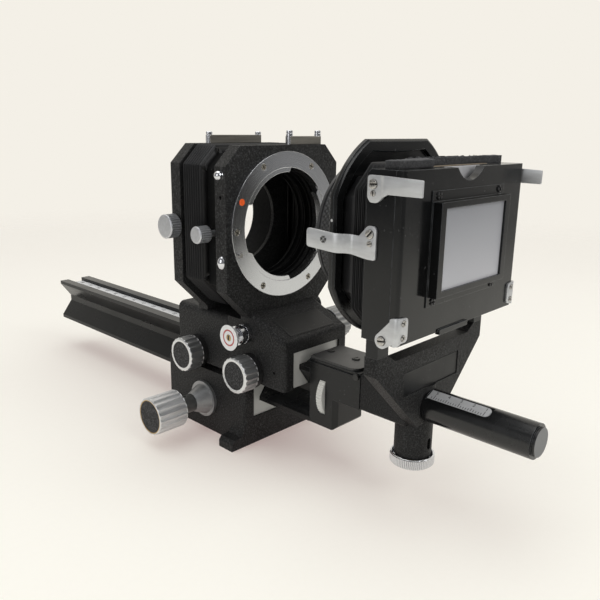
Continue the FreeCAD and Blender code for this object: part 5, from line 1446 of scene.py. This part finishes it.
def flatted(loops, radius, half, top, middle):
    """Turned shape about a Y axis at a height, whose rim is cut flat at both sides and on top. A loop is
    (y, how far inside the rim) or (y, None, radius), in millimetres."""
    corners = {math.asin(top / radius), math.pi - math.asin(top / radius)}
    for side in (math.acos(half / radius), math.pi - math.acos(half / radius)):
        corners |= {side, -side}
    rows = []
    for angle in sorted(corners | {TURN * k / 240 - math.pi for k in range(240)}):
        flat = min(radius, half / max(abs(math.cos(angle)), 1e-6))
        if math.sin(angle) > 0:
            flat = min(flat, top / math.sin(angle))
        rows.append([])
        for y, *way in loops:
            r = way[1] if len(way) > 1 else flat - way[0]
            rows[-1].append((r * math.cos(angle), y, middle + r * math.sin(angle)))
    return ring_mesh(rows)


class UNIT_OT_head(bpy.types.Operator):
    """Makes the copier's head plate with its sunk face, and the rod with its grey end"""

    bl_idname = "bellows_unit.head"
    bl_label = "Head Plate"

    def execute(self, context):
        front, back = HEAD_FACE_Y, HEAD_FACE_Y + 3.0
        end = box("head_plate")[1].y
        loops = [(front, 0.9), (front + 0.35, 0.35), (front + 0.8, 0.0), (back - 0.9, 0.0), (back - 0.4, 0.25),
                 (back - 0.3, 0.75), (back, 0.9), (back, None, 22.5), (end, None, 22.5), (end, None, 20.5),
                 (front + 1.6, None, 20.5), (front + 1.6, None, 26.0), (front + 1.6, 4.6), (front + 0.2, 4.4),
                 (front, 4.2)]
        made = smooth(flatted(loops, 38.3, HEAD_SIDE, 33.8, COPY_Z), 25)
        piece("head_plate_bevelled", painted(made, "plate_black"), "copier_head", "head_plate")

        rod = painted(tidy(NODES["copier_rod"].data.copy()), "rod_black")
        rod.materials.append(PALETTE["cap_grey"])
        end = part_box("copier_rod")[0].y
        for polygon in rod.polygons:
            polygon.material_index = int(polygon.center.y < end + 0.01 * MM)
        piece("copier_rod_capped", smooth(rod, 30), "rail", "copier_rod")
        return {"FINISHED"}


class UNIT_OT_panels(bpy.types.Operator):
    """Makes the bare name panels of the carriage and the copier, the plate behind the finger notch and the strip on
    top of the stage"""

    bl_idname = "bellows_unit.panels"
    bl_label = "Panels"

    def execute(self, context):
        slope = math.atan2(SLOPE_HEAD[1] - SLOPE_FOOT[1], SLOPE_HEAD[0] - SLOPE_FOOT[0])
        panel = bevelled(slab(rounded(rectangle(-13.9, 13.9, -6.1, 6.1), 0.8), 0, 0.16, "z"), 0.05)
        half, rise, bar = 13.2, 5.2, 0.16
        border = [painted(brick(*sides, 0.15, 0.18), "dark_steel")
                  for sides in ((-half, half, rise, rise + bar), (-half, half, -rise - bar, -rise),
                                (-half, -half + bar, -rise, rise), (half - bar, half, -rise, rise))]
        y = -45.25
        made = placed(joined(painted(panel, "bare_panel"), *border),
                      (0, y, SLOPE_FOOT[1] + (y - SLOPE_FOOT[0]) * math.tan(slope)), Matrix.Rotation(slope, 4, "X"))
        piece("slope_panel_bare", made, "lens_carriage", "front_carriage", False)

        recess = box("posts")[0].y + 0.5
        panel = slab(rounded(rectangle(-17.7, 17.7, 48.9, 57.7), 0.5), recess - 0.2, recess)
        piece("copier_panel_bare", painted(bevelled(panel, 0.06), "bare_panel"), "copier", "copier_casting", False)

        back = box("stage_frame")[0].y + 2.3
        plate = bevelled(brick(-8.0, 15.0, back - 0.3, back, 119.5, STAGE_TOP_Z - 0.1), 0.08)
        piece("channel_plate", painted(plate, "pale_plate"), "copier", "stage_frame", False)
        strip = bevelled(brick(-20.0, 21.0, -114.7, -112.6, STAGE_TOP_Z, STAGE_TOP_Z + 0.25), 0.08)
        piece("stage_top_strip", painted(strip, "brass_dark"), "copier", "stage_frame", False)
        return {"FINISHED"}


class UNIT_OT_stage(bpy.types.Operator):
    """Makes the floor, the lamps, the world and the camera"""

    bl_idname = "bellows_unit.stage"
    bl_label = "Studio"

    def floor(self, studio):
        """Paper floor that fades into the backdrop; what is seen of it is part paint, part even light, so that the
        shadow stays soft."""
        backdrop, share = tuple(studio.backdrop), studio.floor_share
        floor = linked("floor", new_mesh([(-3, -3, 0), (3, -3, 0), (3, 3, 0), (-3, 3, 0)], [(0, 1, 2, 3)]))
        f = Finish("floor_paper")
        far = f.add("ShaderNodeVectorMath", {0: f.place}, "Value", operation="LENGTH")
        fade = f.add("ShaderNodeMapRange", {"Value": far, "From Min": 0.35, "From Max": 0.9},
                     interpolation_type="SMOOTHSTEP")
        seen = f.seen("Is Camera Ray", "Is Glossy Ray", "Is Transmission Ray")
        thin = tuple(c * k for c, k in zip(backdrop, (share * 0.92, share * 1.04, share * 1.02)))
        paint = f.varied(f.noise(400, 3.0), thin, 0.995, 1.005)
        f.finish(f.mix(seen, (0.62, 0.615, 0.60), paint), 1.0, 0.0, Specular_IOR_Level=0.0)
        rest = tuple(c - t * studio.floor_level for c, t in zip(backdrop, thin))
        even = f.add("ShaderNodeEmission", {"Color": rest, "Strength": seen})
        both = f.add("ShaderNodeAddShader", {0: Term(f, f.shader.outputs[0]), 1: even})
        f.set(f.output.inputs["Surface"], f.blend(fade, both, f.add("ShaderNodeBsdfTransparent")))
        floor.data.materials.append(f.material)

    def world(self, studio):
        """Even light; the backdrop is seen behind, and gloss also finds the darker room in front of it."""
        world = bpy.data.worlds.new("studio")
        world.use_nodes = True
        bpy.context.scene.world = world
        g = Graph(world.node_tree)
        g.tree.nodes.clear()

        def light(colour, power=1.0):
            return g.add("ShaderNodeBackground", {"Color": colour, "Strength": power})

        behind, front = light(studio.backdrop), light(shade((0.87, 0.87, 0.88), studio.room))
        way = g.add("ShaderNodeTexCoord", take="Generated")
        facing = g.add("ShaderNodeVectorMath", {0: way, 1: (0.69, 0.66, 0.30)}, "Value", operation="DOT_PRODUCT")
        turn = g.add("ShaderNodeMapRange", {"Value": facing, "From Min": 0.0, "From Max": 0.75},
                     interpolation_type="SMOOTHSTEP")
        gloss = g.blend(g.seen("Is Glossy Ray"), light(PALE, studio.world_light), g.blend(turn, front, behind))
        last = g.blend(g.seen("Is Camera Ray", "Is Transmission Ray"), gloss, behind)
        g.node("ShaderNodeOutputWorld", {"Surface": last})

    def lamps(self, studio):
        target = Vector((0.0, -0.02, 0.06))
        for name, place, size, power in (("key_lamp", (0.15, -1.05, 0.75), 0.8, studio.key_power),
                                         ("top_lamp", (-0.1, 0.1, 1.15), 1.0, studio.top_power),
                                         ("fill_lamp", (-1.1, -0.15, 0.45), 0.7, studio.fill_power)):
            lamp = bpy.data.lights.new(name, "AREA")
            lamp.shape = "SQUARE"
            lamp.size = size
            lamp.energy = power
            obj = linked(name, lamp)
            obj.location = place
            obj.rotation_euler = (target - Vector(place)).to_track_quat("-Z", "Y").to_euler()

    def camera(self, studio):
        azimuth, elevation, roll = map(math.radians, (46.375, -14.861, 0.837))
        ahead = Vector((math.sin(azimuth) * math.cos(elevation), math.cos(azimuth) * math.cos(elevation),
                        math.sin(elevation)))
        right = ahead.cross(Vector((0, 0, 1))).normalized()
        up = right.cross(ahead)
        tilted_right = right * math.cos(roll) + up * math.sin(roll)
        tilted_up = up * math.cos(roll) - right * math.sin(roll)
        camera = bpy.data.cameras.new("camera")
        camera.sensor_width = 36.0
        camera.lens = studio.lens
        camera.clip_start, camera.clip_end = 0.01, 20.0
        obj = linked("camera", camera)
        turn = Matrix((tilted_right, tilted_up, -ahead)).transposed().to_4x4()
        obj.matrix_world = Matrix.Translation(Vector((-199.4, -232.66, 141.2)) * MM) @ turn
        bpy.context.scene.camera = obj

    def execute(self, context):
        for step in (self.floor, self.world, self.lamps, self.camera):
            step(settings().studio)
        context.scene.view_settings.view_transform = "Standard"
        return {"FINISHED"}


OPERATORS = (UNIT_OT_finishes, UNIT_OT_bellows, UNIT_OT_knobs, UNIT_OT_turned_fittings,
             UNIT_OT_clamp_wheels, UNIT_OT_lens_ring, UNIT_OT_top_bars, UNIT_OT_strips, UNIT_OT_screws,
             UNIT_OT_felt_pads, UNIT_OT_scales, UNIT_OT_small_fittings, UNIT_OT_head, UNIT_OT_panels, UNIT_OT_stage)


class UNIT_PT_panel(bpy.types.Panel):
    """Lists the steps that dress the unit"""

    bl_idname = "UNIT_PT_panel"
    bl_label = "Macro Bellows Unit"
    bl_space_type = "VIEW_3D"
    bl_region_type = "UI"
    bl_category = "Bellows"

    def draw(self, context):
        for operator in OPERATORS:
            self.layout.operator(operator.bl_idname)


CLASSES = (BellowsSizes, KnobSizes, FinishColours, StudioSettings, UnitSettings) + OPERATORS + (UNIT_PT_panel,)


def register():
    for cls in CLASSES:
        bpy.utils.register_class(cls)
    bpy.types.Scene.bellows_unit = PointerProperty(type=UnitSettings)


def unregister():
    del bpy.types.Scene.bellows_unit
    for cls in reversed(CLASSES):
        bpy.utils.unregister_class(cls)


def main():
    register()
    for operator in OPERATORS:
        group, name = operator.bl_idname.split(".")
        getattr(getattr(bpy.ops, group), name)()


if __name__ == "__main__":
    main()
